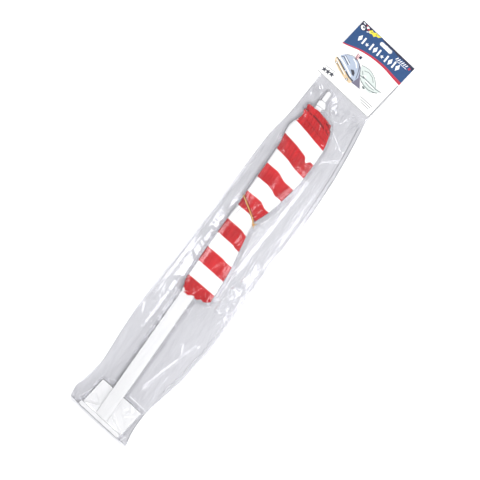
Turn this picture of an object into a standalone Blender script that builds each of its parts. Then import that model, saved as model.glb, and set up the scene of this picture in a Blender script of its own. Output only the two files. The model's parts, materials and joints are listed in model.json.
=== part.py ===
"""Clip-on window flag, rolled, tied and packed in a clear bag with a folded header card.

Everything is in metres with +Z up. The pack lies on its back: +Y runs along the staff from the clip
to the tip, and the origin is on the bag's back face, under the staff's axis, at the clip's lower edge.
"""

import math

import bmesh
import bpy
import numpy as np
from mathutils import Matrix, Vector

for old in list(bpy.data.objects):
    bpy.data.objects.remove(old, do_unlink=True)

# ---------------------------------------------------------------- driving dimensions

GAP = 0.0003  # between pieces that touch

STAFF_LENGTH = 0.508  # clip's lower edge to the tip
STAFF_WIDTH = 0.0172
STAFF_DEPTH = 0.0065
STAFF_WALL = 0.0018
STAFF_ON_PLATE = 0.0040  # how far the staff stands proud of the clip's plate
RIB_PITCH = 0.0210
RIB_THICKNESS = 0.0014

UPPER_WIDTH_LOW = 0.0126  # the upper staff tapers from here
UPPER_WIDTH_HIGH = 0.0096  # to here
UPPER_DEPTH = 0.0042
UPPER_TAIL = 0.0280  # length that plugs into the lower staff

COLLAR_LENGTH = 0.0040
COLLAR_LIP_LEFT = 0.0010
COLLAR_LIP_RIGHT = 0.0003

BARB_LENGTH = 0.0082
BARB_LIP = 0.0022
TIP_WIDTH = 0.0062
TIP_DEPTH = 0.0040

BASE_ANGLE = math.radians(7.4)  # the clip's tilt, clockwise from the staff
BASE_WIDTH = 0.0645
BASE_HEIGHT = 0.0430
BASE_SHIFT = 0.0008  # the plate's middle, right of the staff's axis
PLATE_THICKNESS = 0.0022
LEDGE_HEIGHT = 0.0055
LEDGE_DEPTH = 0.0066
LEDGE_BOTTOM = 0.0005
LEDGE_OVERHANG = 0.0026  # past the plate's left edge
LEDGE_SHORTFALL = 0.0015  # short of the plate's right edge
GUSSET_RISE = 0.0110  # height at the staff's side
GUSSET_THICKNESS = 0.0026

LEG_WIDTH = 0.0440
LEG_THICKNESS = 0.0020
LEG_LENGTH = 0.0390
LEG_LIP = 0.0042  # length of the turned-out end
LEG_LIP_DROP = 0.0008
LEG_RIDGE = 0.0004
LEG_RIDGE_PITCH = 0.0050
LEG_BACK_ROOM = 0.0028  # from the leg to the bag's back film
BRIDGE_HEIGHT = 0.0045
GLASS_SLOT = 0.0048  # room for the window glass

FLAG_HOIST = 0.2794
TIP_SHOWN = 0.0270  # staff left bare above the flag
SLEEVE_CLOTH = 0.0006
ROLL_BACK = 0.0004  # from the bag's back film to the roll
ROLL_DEPTH = 0.0182
ROLL_WIDTH = 0.0500  # at its widest

TIE_DIAMETER = 0.0012
TIE_SHARE = 0.4560  # where the tie crosses the roll, as a share of the hoist
TIE_SLANT = 0.667
KNOT_DIAMETER = 0.0034

FILM = 0.0004
FILM_ROOM = 0.0005  # film to what it lies over
SEAL_WIDTH = 0.0020
BAG_END_ROOM = 0.0008  # film to the clip's lower edge
TIP_TO_FOLD = 0.0075  # tip to the line where the empty film bends

CARD_ANGLE = math.radians(8.4)
CARD_WIDTH = 0.0890
CARD_HEIGHT = 0.0860
CARD_STOCK = 0.0004
CARD_SHIFT = 0.01366  # the card's middle, right of the staff's axis, on the bend line
CARD_FROM_FOLD = 0.0030
MOUTH_LEFT = 0.0368
MOUTH_RIGHT = 0.0440
MOUTH_LENGTH = 0.0700
HOLE_WIDTH = 0.0190
HOLE_HEIGHT = 0.0046
HOLE_BUMP_RADIUS = 0.0030
HOLE_BUMP_RISE = 0.0004
HOLE_DOWN = 0.0060  # hole's centre below the card's top edge

# ---------------------------------------------------------------- heights that follow from them

leg_back = FILM + LEG_BACK_ROOM
leg_front = leg_back + LEG_THICKNESS
plate_back = leg_front + GLASS_SLOT
plate_front = plate_back + PLATE_THICKNESS
staff_front = plate_front + GAP + STAFF_ON_PLATE
staff_back = staff_front - STAFF_DEPTH
upper_top = staff_front - STAFF_WALL - GAP
upper_middle = upper_top - UPPER_DEPTH / 2
ledge_front = plate_back + LEDGE_DEPTH
base_top = LEDGE_BOTTOM + BASE_HEIGHT

flag_top = STAFF_LENGTH - TIP_SHOWN
flag_bottom = flag_top - FLAG_HOIST
collar_bottom = flag_bottom - COLLAR_LENGTH - 2 * GAP
upper_bottom = collar_bottom - UPPER_TAIL
upper_end = flag_top + 0.0040
roll_low = FILM + ROLL_BACK
mouth_y = STAFF_LENGTH + TIP_TO_FOLD
film_start = LEDGE_BOTTOM - BAG_END_ROOM - FILM - 0.0009

# ---------------------------------------------------------------- helpers


def material(name, colour, roughness, alpha=1.0):
    made = bpy.data.materials.new(name)
    made.use_nodes = True
    shader = made.node_tree.nodes["Principled BSDF"]
    shader.inputs["Base Color"].default_value = (*colour, 1.0)
    shader.inputs["Roughness"].default_value = roughness
    shader.inputs["Metallic"].default_value = 0.0
    shader.inputs["Alpha"].default_value = alpha
    return made


white_plastic = material("white_plastic", (0.86, 0.86, 0.85), 0.35)
flag_cloth = material("flag_cloth", (0.62, 0.05, 0.06), 0.85)
elastic = material("elastic", (0.75, 0.50, 0.16), 0.6)
clear_film = material("clear_film", (0.93, 0.93, 0.96), 0.15, alpha=0.25)
card_stock = material("card_stock", (0.85, 0.87, 0.90), 0.45)


def add(name, mesh, surface, parent=None):
    """An object from a finished bmesh, with its faces turned outwards."""
    bmesh.ops.recalc_face_normals(mesh, faces=mesh.faces)
    data = bpy.data.meshes.new(name)
    mesh.to_mesh(data)
    mesh.free()
    data.materials.append(surface)
    made = bpy.data.objects.new(name, data)
    made.parent = parent
    bpy.context.scene.collection.objects.link(made)
    return made


def frame_at(name, location, turn, parent=None):
    """An empty that carries a group of pieces: a place and a turn about Z."""
    empty = bpy.data.objects.new(name, None)
    empty.location = location
    empty.rotation_euler = (0, 0, turn)
    empty.parent = parent
    bpy.context.scene.collection.objects.link(empty)
    return empty


def bevel(part, width, segments=2):
    rounding = part.modifiers.new("rounding", "BEVEL")
    rounding.width = width
    rounding.segments = segments
    rounding.limit_method = "ANGLE"
    rounding.angle_limit = math.radians(35)


def smooth(part, angle=40):
    part.data.shade_smooth()
    part.data.set_sharp_from_angle(angle=math.radians(angle))


def cut(part, cutter):
    cutter.hide_render = True
    cutter.display_type = "WIRE"
    boolean = part.modifiers.new("cut", "BOOLEAN")
    boolean.operation = "DIFFERENCE"
    boolean.object = cutter


def prism(name, outline, low, high, surface, parent=None):
    """A flat outline in X and Y, drawn out from one height to another."""
    mesh = bmesh.new()
    floor = mesh.faces.new([mesh.verts.new((x, y, low)) for x, y in outline])
    drawn = bmesh.ops.extrude_face_region(mesh, geom=[floor])
    risen = [item for item in drawn["geom"] if isinstance(item, bmesh.types.BMVert)]
    bmesh.ops.translate(mesh, verts=risen, vec=(0, 0, high - low))
    return add(name, mesh, surface, parent)


def side_prism(name, profile, left, right, surface, parent=None):
    """A profile in Y and Z, drawn out along X."""
    mesh = bmesh.new()
    end = mesh.faces.new([mesh.verts.new((left, y, z)) for y, z in profile])
    drawn = bmesh.ops.extrude_face_region(mesh, geom=[end])
    moved = [item for item in drawn["geom"] if isinstance(item, bmesh.types.BMVert)]
    bmesh.ops.translate(mesh, verts=moved, vec=(right - left, 0, 0))
    return add(name, mesh, surface, parent)


def box(name, low, high, surface, parent=None):
    outline = [(low[0], low[1]), (high[0], low[1]), (high[0], high[1]), (low[0], high[1])]
    return prism(name, outline, low[2], high[2], surface, parent)


def oval_ring(y, left, right, low, high, power=2.4, count=24, slope=0.0):
    """Points round a rounded-square section at Y, which leans with X by the slope."""
    middle_x = (left + right) / 2
    middle_z = (low + high) / 2
    points = []
    for step in range(count):
        turn = 2 * math.pi * (step + 0.5) / count
        reach_x = math.copysign(abs(math.cos(turn)) ** (2 / power), math.cos(turn))
        reach_z = math.copysign(abs(math.sin(turn)) ** (2 / power), math.sin(turn))
        x = middle_x + reach_x * (right - left) / 2
        z = middle_z + reach_z * (high - low) / 2
        points.append((x, y - slope * x, z))
    return points


def loft(name, outer, surface, inner=None):
    """Rings joined one to the next: a closed rod, or with inner rings a tube."""
    mesh = bmesh.new()

    def skin(rings):
        made = [[mesh.verts.new(point) for point in ring] for ring in rings]
        for one, other in zip(made, made[1:]):
            for index in range(len(one)):
                after = (index + 1) % len(one)
                mesh.faces.new((one[index], one[after], other[after], other[index]))
        return made

    shell = skin(outer)
    if inner is None:
        mesh.faces.new(shell[0])
        mesh.faces.new(shell[-1])
    else:
        core = skin(inner)
        for end in (0, -1):
            for index in range(len(shell[end])):
                after = (index + 1) % len(shell[end])
                corners = (shell[end][index], shell[end][after], core[end][after], core[end][index])
                mesh.faces.new(corners)
    return add(name, mesh, surface)


# ---------------------------------------------------------------- the clip

base = frame_at("base_frame", (0, 0, 0), -BASE_ANGLE)
plate_left = BASE_SHIFT - BASE_WIDTH / 2
plate_right = BASE_SHIFT + BASE_WIDTH / 2
ledge_top = LEDGE_BOTTOM + LEDGE_HEIGHT
ledge_left = plate_left - LEDGE_OVERHANG
ledge_right = plate_right - LEDGE_SHORTFALL


def base_to_world(point):
    """A point of the clip's own frame, in the staff's frame."""
    turned = Matrix.Rotation(-BASE_ANGLE, 2) @ Vector(point)
    return turned.x, turned.y


base_plate = box(
    "base_plate",
    (plate_left, ledge_top + GAP, plate_back),
    (plate_right, base_top, plate_front),
    white_plastic,
    base,
)
bevel(base_plate, 0.0006)

base_ledge = box(
    "base_ledge",
    (ledge_left, LEDGE_BOTTOM, plate_back),
    (ledge_right, ledge_top, ledge_front),
    white_plastic,
    base,
)
bevel(base_ledge, 0.0009)


def ledge_line(x):
    """The height Y at which a piece that stands on the ledge ends, at X in the staff's frame."""
    return (ledge_top + GAP - x * math.sin(BASE_ANGLE)) / math.cos(BASE_ANGLE)


def gusset(name, side):
    """A web between the staff's side and the ledge, on the plate's front."""
    inner = side * (STAFF_WIDTH / 2 + GAP)
    end = ledge_left if side < 0 else ledge_right
    outer = base_to_world((end * 0.9, ledge_top + GAP + 0.0006))
    foot = base_to_world((end * 0.9, ledge_top + GAP))
    outline = [(inner, ledge_line(inner)), (inner, ledge_line(inner) + GUSSET_RISE), outer, foot]
    low = plate_front + GAP
    made = prism(name, outline, low, low + GUSSET_THICKNESS, white_plastic)
    bevel(made, 0.0003, 1)


gusset("gusset_left", -1)
gusset("gusset_right", 1)

bridge_bottom = base_top - BRIDGE_HEIGHT
hook_bridge = box(
    "hook_bridge",
    (-LEG_WIDTH / 2, bridge_bottom, leg_front + GAP),
    (LEG_WIDTH / 2, base_top, plate_back - GAP),
    white_plastic,
    base,
)
bevel(hook_bridge, 0.0005)

# The leg's origin is on the line it flexes about, along the top of its inner face.
leg_hinge = frame_at("leg_hinge", (0, base_top, leg_front), 0, base)


def leg_profile():
    """Y and Z round the leg's section, from the hinge line: a tongue, ridges and a turned-out lip."""
    lip_start = -(LEG_LENGTH - LEG_LIP)
    points = [(0, 0)]
    for step in range(3):
        y = lip_start + LEG_RIDGE_PITCH * (3 - step)
        half = LEG_RIDGE * 1.5
        points += [(y + half, 0), (y, LEG_RIDGE), (y - half, 0)]
    points += [(lip_start, 0), (-LEG_LENGTH, -LEG_LIP_DROP)]
    points += [(-LEG_LENGTH, -LEG_LIP_DROP - LEG_THICKNESS * 0.8), (lip_start, -LEG_THICKNESS)]
    points += [(0, -LEG_THICKNESS)]
    return points


side_prism("clip_leg", leg_profile(), -LEG_WIDTH / 2, LEG_WIDTH / 2, white_plastic, leg_hinge)

# ---------------------------------------------------------------- the staff

half_staff = STAFF_WIDTH / 2
plate_end = max(base_to_world((plate_left, base_top))[1], base_to_world((0, base_top))[1])
step_y = plate_end + 0.0012

staff_outline = [
    (-half_staff, ledge_line(-half_staff)),
    (half_staff, ledge_line(half_staff)),
    (half_staff, collar_bottom - GAP),
    (-half_staff, collar_bottom - GAP),
]
staff_lower = prism("staff_lower", staff_outline, staff_back, staff_front, white_plastic)

# Behind the plate's front face the bar is cut away, so that it lies on the plate.
relief = box(
    "staff_relief",
    (-STAFF_WIDTH, -STAFF_WIDTH, staff_back - 0.002),
    (STAFF_WIDTH, step_y, plate_front + GAP),
    white_plastic,
)
cut(staff_lower, relief)


def staff_pockets():
    """Hollows in the bar's back between thin cross ribs, and one long socket for the upper staff."""
    inside = half_staff - STAFF_WALL
    socket_start = upper_bottom - 0.0010
    room = socket_start - RIB_THICKNESS - ledge_line(half_staff) - 0.0060
    count = max(1, round(room / RIB_PITCH))
    pitch = room / count
    start = ledge_line(half_staff) + 0.0060
    spans = [(start + pitch * k, start + pitch * (k + 1) - RIB_THICKNESS) for k in range(count)]
    spans.append((socket_start, collar_bottom + 0.0020))
    ceiling = staff_front - STAFF_WALL
    for number, (low, high) in enumerate(spans):
        floor = staff_back - 0.0010
        pocket = box(f"staff_pocket_{number}", (-inside, low, floor), (inside, high, ceiling), white_plastic)
        cut(staff_lower, pocket)


staff_pockets()

collar_outline = [
    (-half_staff - COLLAR_LIP_LEFT, collar_bottom),
    (half_staff + COLLAR_LIP_RIGHT, collar_bottom),
    (half_staff + COLLAR_LIP_RIGHT, collar_bottom + COLLAR_LENGTH),
    (-half_staff - COLLAR_LIP_LEFT, collar_bottom + COLLAR_LENGTH),
]
staff_collar = prism("staff_collar", collar_outline, staff_back - GAP, staff_front + GAP, white_plastic)


def upper_width(y):
    """The upper staff's width at Y."""
    return float(np.interp(y, (upper_bottom, upper_end), (UPPER_WIDTH_LOW, UPPER_WIDTH_HIGH)))


def upper_ring(y, proud=0.0):
    """The upper staff's section at Y, or one that lies outside it."""
    half = upper_width(y) / 2 + proud
    high = UPPER_DEPTH / 2 + proud
    return oval_ring(y, -half, half, upper_middle - high, upper_middle + high, power=4)


collar_hole = loft(
    "collar_hole",
    [upper_ring(collar_bottom - 0.002, GAP), upper_ring(collar_bottom + COLLAR_LENGTH + 0.002, GAP)],
    white_plastic,
)
cut(staff_collar, collar_hole)

staff_upper = loft("staff_upper", [upper_ring(upper_bottom), upper_ring(upper_end)], white_plastic)
smooth(staff_upper)

barb_bottom = upper_end + GAP
barb_top = barb_bottom + BARB_LENGTH
barb_half = UPPER_WIDTH_HIGH / 2 + 0.0002
barb_outline = [
    (-barb_half, barb_bottom),
    (barb_half + BARB_LIP, barb_bottom),
    (barb_half + BARB_LIP, barb_bottom + BARB_LENGTH * 0.35),
    (TIP_WIDTH / 2, barb_top),
    (-TIP_WIDTH / 2, barb_top),
    (-barb_half, barb_bottom + BARB_LENGTH * 0.7),
]
barb_low = upper_middle - UPPER_DEPTH / 2
tip_barb = prism("tip_barb", barb_outline, barb_low, barb_low + UPPER_DEPTH, white_plastic)
bevel(tip_barb, 0.0004)


def tip_outline():
    """The slim tip with its round end."""
    radius = TIP_WIDTH / 2
    centre = STAFF_LENGTH - radius
    arc = [math.pi * step / 10 for step in range(11)]
    low = barb_top + GAP
    return [(-radius, low), (radius, low)] + [
        (radius * math.cos(turn), centre + radius * math.sin(turn)) for turn in arc
    ]


tip_low = upper_middle - TIP_DEPTH / 2
staff_tip = prism("staff_tip", tip_outline(), tip_low, tip_low + TIP_DEPTH, white_plastic)
bevel(staff_tip, 0.0004, 1)

# ---------------------------------------------------------------- the rolled flag

# Shares of the hoist from the bottom hem, and the roll's left and right edge there as shares of its
# widest width: bunched at the hem, pinched by the tie, and full at the top.
ROLL_SHAPE = (
    (0.00, -0.27, 0.52),
    (0.03, -0.29, 0.585),
    (0.17, -0.29, 0.555),
    (0.29, -0.29, 0.46),
    (0.37, -0.285, 0.38),
    (0.44, -0.28, 0.32),
    (0.54, -0.29, 0.55),
    (0.66, -0.30, 0.66),
    (0.81, -0.34, 0.735),
    (0.93, -0.36, 0.74),
    (0.975, -0.33, 0.71),
    (1.00, -0.29, 0.66),
)
ROLL_RINGS = 24
TOP_SLOPE = 0.22  # the top hem drops to the right


def roll_section(y):
    """Left, right, low and high of the roll at Y. It is thinner where the tie pinches it."""
    share = (y - flag_bottom) / FLAG_HOIST
    shares, lefts, rights = zip(*ROLL_SHAPE)
    left = float(np.interp(share, shares, lefts)) * ROLL_WIDTH
    right = float(np.interp(share, shares, rights)) * ROLL_WIDTH
    pinch = math.exp(-(((share - TIE_SHARE) / 0.07) ** 2))
    ends = max(0.0, 1 - min(share, 1 - share) / 0.04)
    low = roll_low + 0.0026 * pinch + 0.0015 * ends
    high = roll_low + ROLL_DEPTH - 0.0016 * pinch - 0.0012 * ends
    return left, right, low, high


ring_heights = np.linspace(flag_bottom, flag_top, ROLL_RINGS)
ring_sections = [roll_section(y) for y in ring_heights]


def ring_slope(y):
    """The lean of the hem and the stripes grows towards the top."""
    return TOP_SLOPE * ((y - flag_bottom) / FLAG_HOIST) ** 4


sleeve_proud = GAP + SLEEVE_CLOTH
flag_roll = loft(
    "flag_roll",
    [oval_ring(y, *section, slope=ring_slope(y)) for y, section in zip(ring_heights, ring_sections)],
    flag_cloth,
    inner=[upper_ring(y, sleeve_proud + GAP) for y in ring_heights],
)
smooth(flag_roll, 60)

sleeve_ends = (flag_bottom + 0.0010, flag_top - 0.0010)
flag_sleeve = loft(
    "flag_sleeve",
    [upper_ring(y, sleeve_proud) for y in sleeve_ends],
    flag_cloth,
    inner=[upper_ring(y, GAP) for y in sleeve_ends],
)
smooth(flag_sleeve)

# ---------------------------------------------------------------- the elastic tie

tie_y = flag_bottom + TIE_SHARE * FLAG_HOIST
TIE_POINTS = 32


def section_between(y):
    """The roll's section at Y, read between its rings, as its facets run."""
    return [float(np.interp(y, ring_heights, column)) for column in zip(*ring_sections)]


def tie_path():
    """Points round the roll in a slanted plane, a tie's radius and a gap off the cloth."""
    off = TIE_DIAMETER / 2 + GAP
    points = []
    for step in range(TIE_POINTS):
        x = y = 0.0
        y = tie_y
        for _ in range(6):
            left, right, low, high = section_between(y)
            ring = oval_ring(y, left - off, right + off, low - off, high + off, count=TIE_POINTS)
            x, _, z = ring[step]
            y = tie_y - TIE_SLANT * (x - (left + right) / 2)
        points.append((x, y, z))
    return points


def tie_loop():
    curve = bpy.data.curves.new("tie_band", "CURVE")
    curve.dimensions = "3D"
    curve.bevel_depth = TIE_DIAMETER / 2
    curve.bevel_resolution = 1
    path = tie_path()
    spline = curve.splines.new("POLY")
    spline.points.add(len(path) - 1)
    for point, place in zip(spline.points, path):
        point.co = (*place, 1.0)
    spline.use_cyclic_u = True
    curve.materials.append(elastic)
    made = bpy.data.objects.new("tie_band", curve)
    bpy.context.scene.collection.objects.link(made)
    return path


tie_points = tie_loop()
tie_end = max(tie_points)


def tie_knot():
    mesh = bmesh.new()
    bmesh.ops.create_icosphere(mesh, subdivisions=2, radius=KNOT_DIAMETER / 2)
    bmesh.ops.scale(mesh, verts=mesh.verts, vec=(1.0, 1.3, 0.9))
    made = add("tie_knot", mesh, elastic)
    made.location = (tie_end[0] + TIE_DIAMETER / 2 + GAP + KNOT_DIAMETER / 2, tie_end[1], tie_end[2])
    smooth(made, 80)


tie_knot()

# ---------------------------------------------------------------- the bag

# Shares of the way from the clip's end to the mouth, and how far the bag's edge lies outside half the
# clip's width there.
BAG_LEFT = (
    (0.000, 0.0145),
    (0.015, 0.0200),
    (0.061, 0.0127),
    (0.111, 0.0072),
    (0.190, 0.0097),
    (0.271, 0.0113),
    (0.414, 0.0087),
    (0.538, 0.0057),
    (0.660, 0.0033),
    (0.802, 0.0010),
    (0.885, -0.0060),
    (1.000, -0.0093),
)
BAG_RIGHT = (
    (0.000, 0.0143),
    (0.036, 0.0102),
    (0.084, 0.0097),
    (0.134, 0.0153),
    (0.217, 0.0247),
    (0.300, 0.0305),
    (0.442, 0.0333),
    (0.567, 0.0385),
    (0.689, 0.0385),
    (0.830, 0.0363),
    (0.910, 0.0327),
    (1.000, 0.0262),
)
BAG_ROWS = 36
FLANK_COLUMNS = 4
TOP_COLUMNS = 5


def bag_share(row_y):
    return (row_y - film_start) / (mouth_y - film_start)


def bag_edges(row_y):
    """X of the bag's left and right edge on a row."""
    left = -BASE_WIDTH / 2 - float(np.interp(bag_share(row_y), *zip(*BAG_LEFT)))
    right = BASE_WIDTH / 2 + float(np.interp(bag_share(row_y), *zip(*BAG_RIGHT)))
    return left, right


def row_point(row_y, x):
    """Rows lean with the clip at one end and with the card at the other."""
    lean = BASE_ANGLE + (CARD_ANGLE - BASE_ANGLE) * bag_share(row_y)
    return x, row_y - x * math.tan(lean)


def rectangle(left, right, low, high):
    return [(left, low), (right, low), (right, high), (left, high)]


clip_outline = [
    base_to_world(corner) for corner in rectangle(ledge_left, plate_right, LEDGE_BOTTOM, base_top)
]
roll_outline = [(section[0], y) for y, section in zip(ring_heights, ring_sections)]
roll_outline += [(section[1], y) for y, section in zip(ring_heights, ring_sections)][::-1]
tie_outline = rectangle(
    section_between(tie_y)[0] - 0.002, tie_end[0] + KNOT_DIAMETER + 0.001, tie_y - 0.012, tie_y + 0.012
)
# What the front film lies over: an outline and the height of its top.
CONTENTS = (
    (clip_outline, max(ledge_front, staff_front)),
    (rectangle(-half_staff, half_staff, ledge_top, collar_bottom), staff_front),
    (rectangle(-half_staff - 0.001, half_staff + 0.001, collar_bottom, flag_bottom), staff_front + GAP),
    (roll_outline, roll_low + ROLL_DEPTH),
    (tie_outline, roll_low + ROLL_DEPTH + TIE_DIAMETER),
    (rectangle(-barb_half, barb_half + BARB_LIP, flag_top, barb_top), upper_top),
    (rectangle(-TIP_WIDTH / 2, TIP_WIDTH / 2, barb_top, STAFF_LENGTH), upper_top),
)


def span(outline, low, high):
    """The outline's lowest and highest X between two heights, or None."""
    found = []
    for (x0, y0), (x1, y1) in zip(outline, outline[1:] + outline[:1]):
        for x, y in ((x0, y0), (x1, y1)):
            if low <= y <= high:
                found.append(x)
        for level in (low, high):
            if (y0 - level) * (y1 - level) < 0:
                found.append(x0 + (x1 - x0) * (level - y0) / (y1 - y0))
    return (min(found), max(found)) if found else None


def film_rows():
    """Heights of the film's rows: close together where it comes down at each end."""
    first = LEDGE_BOTTOM - BAG_END_ROOM
    last = STAFF_LENGTH + 0.0010
    middle = np.linspace(first, last, BAG_ROWS - 2)
    return [film_start, *middle, mouth_y - GAP - FILM]


row_heights = film_rows()
row_margin = (row_heights[2] - row_heights[1]) + 0.0075


def film_row(row_y, closed):
    """One row of the front film: up a flank, across the contents and down the other flank."""
    left, right = bag_edges(row_y)
    base_z = FILM + GAP
    spans = []
    top = base_z
    for outline, height in CONTENTS:
        reach = span(outline, row_y - row_margin, row_y + row_margin)
        if reach:
            spans.append(reach)
            top = max(top, height + FILM_ROOM)
    low_x = min(reach[0] for reach in spans) - FILM_ROOM - FILM
    high_x = max(reach[1] for reach in spans) + FILM_ROOM + FILM
    points = []
    for step in range(FLANK_COLUMNS):
        share = step / FLANK_COLUMNS
        points.append((left + (low_x - left) * share, share))
    for step in range(TOP_COLUMNS):
        points.append((low_x + (high_x - low_x) * step / (TOP_COLUMNS - 1), 1.0))
    for step in range(1, FLANK_COLUMNS + 1):
        share = 1 - step / FLANK_COLUMNS
        points.append((high_x + (right - high_x) * (1 - share), share))
    row = []
    for x, share in points:
        height = base_z if closed else base_z + (top - base_z) * share
        row.append((*row_point(row_y, x), height))
    return row


def front_film():
    mesh = bmesh.new()
    rows = []
    for number, row_y in enumerate(row_heights):
        closed = number in (0, len(row_heights) - 1)
        rows.append([mesh.verts.new(point) for point in film_row(row_y, closed)])
    for one, other in zip(rows, rows[1:]):
        for index in range(len(one) - 1):
            mesh.faces.new((one[index], one[index + 1], other[index + 1], other[index]))
    data = bpy.data.meshes.new("bag_front_film")
    mesh.to_mesh(data)
    mesh.free()
    data.materials.append(clear_film)
    made = bpy.data.objects.new("bag_front_film", data)
    bpy.context.scene.collection.objects.link(made)
    wall = made.modifiers.new("wall", "SOLIDIFY")
    wall.thickness = FILM
    wall.offset = 1.0
    smooth(made, 60)


front_film()


def back_film():
    """The flat sheet that the pack rests on, out to the same edges as the front film."""
    lefts = [row_point(row_y, bag_edges(row_y)[0]) for row_y in row_heights]
    rights = [row_point(row_y, bag_edges(row_y)[1]) for row_y in row_heights]
    prism("bag_back_film", lefts[::-1] + rights, 0.0, FILM, clear_film)


back_film()


def bottom_seal():
    """The welded band past the clip, both films thick."""
    left, right = bag_edges(film_start)
    inner = film_start - FILM - GAP
    outline = [
        row_point(inner, left),
        row_point(inner - SEAL_WIDTH, left + SEAL_WIDTH),
        row_point(inner - SEAL_WIDTH, right - SEAL_WIDTH),
        row_point(inner, right),
    ]
    prism("bag_bottom_seal", outline, 0.0, 2 * FILM, clear_film)


bottom_seal()

# ---------------------------------------------------------------- the header card

mouth_back = FILM + GAP
mouth_front = mouth_back + FILM
fold_height = (mouth_back + mouth_front) / 2
card_front = mouth_front + GAP + CARD_STOCK
card_bottom = CARD_FROM_FOLD
card_top = card_bottom + CARD_HEIGHT
panel_top = card_top - 3 * CARD_STOCK

# The card's frame is on the line where the empty film bends.
fold_y = mouth_y - CARD_SHIFT * math.tan(CARD_ANGLE)
card_hinge = frame_at("card_hinge", (CARD_SHIFT, fold_y, 0), -CARD_ANGLE)

box(
    "bag_mouth",
    (-MOUTH_LEFT, FILM, mouth_back),
    (MOUTH_RIGHT, min(card_bottom + MOUTH_LENGTH, card_top - 2 * HOLE_DOWN), mouth_front),
    clear_film,
    card_hinge,
)


def slot_outline(width, height):
    """A slot with round ends, about the origin."""
    radius = height / 2
    reach = width / 2 - radius
    right = [math.pi * (step / 8 - 0.5) for step in range(9)]
    return [(reach + radius * math.cos(turn), radius * math.sin(turn)) for turn in right] + [
        (-reach - radius * math.cos(turn), -radius * math.sin(turn)) for turn in right
    ]


def circle_outline(radius, centre_y, count=20):
    turns = [2 * math.pi * step / count for step in range(count)]
    return [(radius * math.cos(turn), centre_y + radius * math.sin(turn)) for turn in turns]


def hole_cutter(name, outline):
    made = prism(name, outline, -0.002, card_front + 0.002, card_stock, card_hinge)
    made.location = (0, card_top - HOLE_DOWN, 0)
    return made


hole_slot = hole_cutter("hole_slot", slot_outline(HOLE_WIDTH, HOLE_HEIGHT))
hole_bump = hole_cutter("hole_bump", circle_outline(HOLE_BUMP_RADIUS, HOLE_BUMP_RISE))


def card_panel(name, low):
    half = CARD_WIDTH / 2
    made = box(name, (-half, card_bottom, low), (half, panel_top, low + CARD_STOCK), card_stock, card_hinge)
    cut(made, hole_slot)
    cut(made, hole_bump)


card_panel("card_back_panel", 0.0)
card_panel("card_front_panel", card_front - CARD_STOCK)


def top_fold():
    """The rounded crease that joins the two panels."""
    start = panel_top + GAP
    reach = card_top - start
    middle = card_front / 2
    turns = [math.pi * (step / 8 - 0.5) for step in range(9)]
    profile = [(start + reach * math.cos(turn), middle + middle * math.sin(turn)) for turn in turns]
    half = CARD_WIDTH / 2
    made = side_prism("card_top_fold", profile, -half, half, card_stock, card_hinge)
    smooth(made, 50)


top_fold()
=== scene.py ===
# %% [markdown]
# # A clip-on window flag in its bag
# The finished thing is a shop pack: a white moulded staff with a window clip, a striped flag rolled
# round the staff and pinched by an elastic tie, a thin clear bag, and a folded header card.
# The solid model of it is already made and fixed. This script loads that model, gives its hard pieces
# their finish, and builds the cloth, the tie, the film and the printing around it.

# %% Load the frame
import json
import math

import bpy
import numpy as np
from mathutils import Matrix, Vector, noise
from mathutils.bvhtree import BVHTree


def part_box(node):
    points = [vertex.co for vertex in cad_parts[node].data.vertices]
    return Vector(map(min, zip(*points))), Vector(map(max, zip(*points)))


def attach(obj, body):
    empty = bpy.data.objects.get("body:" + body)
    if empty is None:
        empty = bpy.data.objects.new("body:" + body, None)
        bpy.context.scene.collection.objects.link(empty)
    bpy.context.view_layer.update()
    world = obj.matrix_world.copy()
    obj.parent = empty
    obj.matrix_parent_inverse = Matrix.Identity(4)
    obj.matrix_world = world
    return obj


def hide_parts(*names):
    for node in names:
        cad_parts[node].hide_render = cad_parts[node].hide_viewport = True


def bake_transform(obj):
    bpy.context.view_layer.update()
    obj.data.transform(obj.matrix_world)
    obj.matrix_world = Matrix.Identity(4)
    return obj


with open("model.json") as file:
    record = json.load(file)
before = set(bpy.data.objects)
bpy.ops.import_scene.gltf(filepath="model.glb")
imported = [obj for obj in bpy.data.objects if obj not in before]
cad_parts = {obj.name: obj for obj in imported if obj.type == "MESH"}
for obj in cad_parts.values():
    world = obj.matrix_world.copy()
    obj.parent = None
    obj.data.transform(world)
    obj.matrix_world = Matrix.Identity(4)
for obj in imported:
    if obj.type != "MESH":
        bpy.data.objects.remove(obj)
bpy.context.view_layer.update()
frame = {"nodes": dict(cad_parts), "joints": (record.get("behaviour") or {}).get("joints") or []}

MM = 0.001
nodes = frame["nodes"]

# %% [markdown]
# ## Small helpers
# Blender's operators act on everything that is selected, and loading leaves the model selected.
# So each step starts from an empty selection and one active object. Cloth and film are laid out as rows
# of points, so one helper makes an object from points and faces, and another sees to it that all the
# faces of a made piece look outwards.

# %% Selecting and making


def only(thing):
    """Selects one object and nothing else, and makes it active."""
    bpy.ops.object.select_all(action="DESELECT")
    thing.select_set(True)
    bpy.context.view_layer.objects.active = thing
    return thing


def named(name):
    """Gives the active object, just added, its name, and returns it."""
    thing = bpy.context.object
    thing.name = name
    thing.data.name = name
    return thing


def apply_all(thing):
    """Applies the modifiers, and then the place, turn and scale, so that the mesh holds everything."""
    only(thing)
    for modifier in list(thing.modifiers):
        bpy.ops.object.modifier_apply(modifier=modifier.name)
    bpy.ops.object.transform_apply(location=True, rotation=True, scale=True)
    return thing


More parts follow.
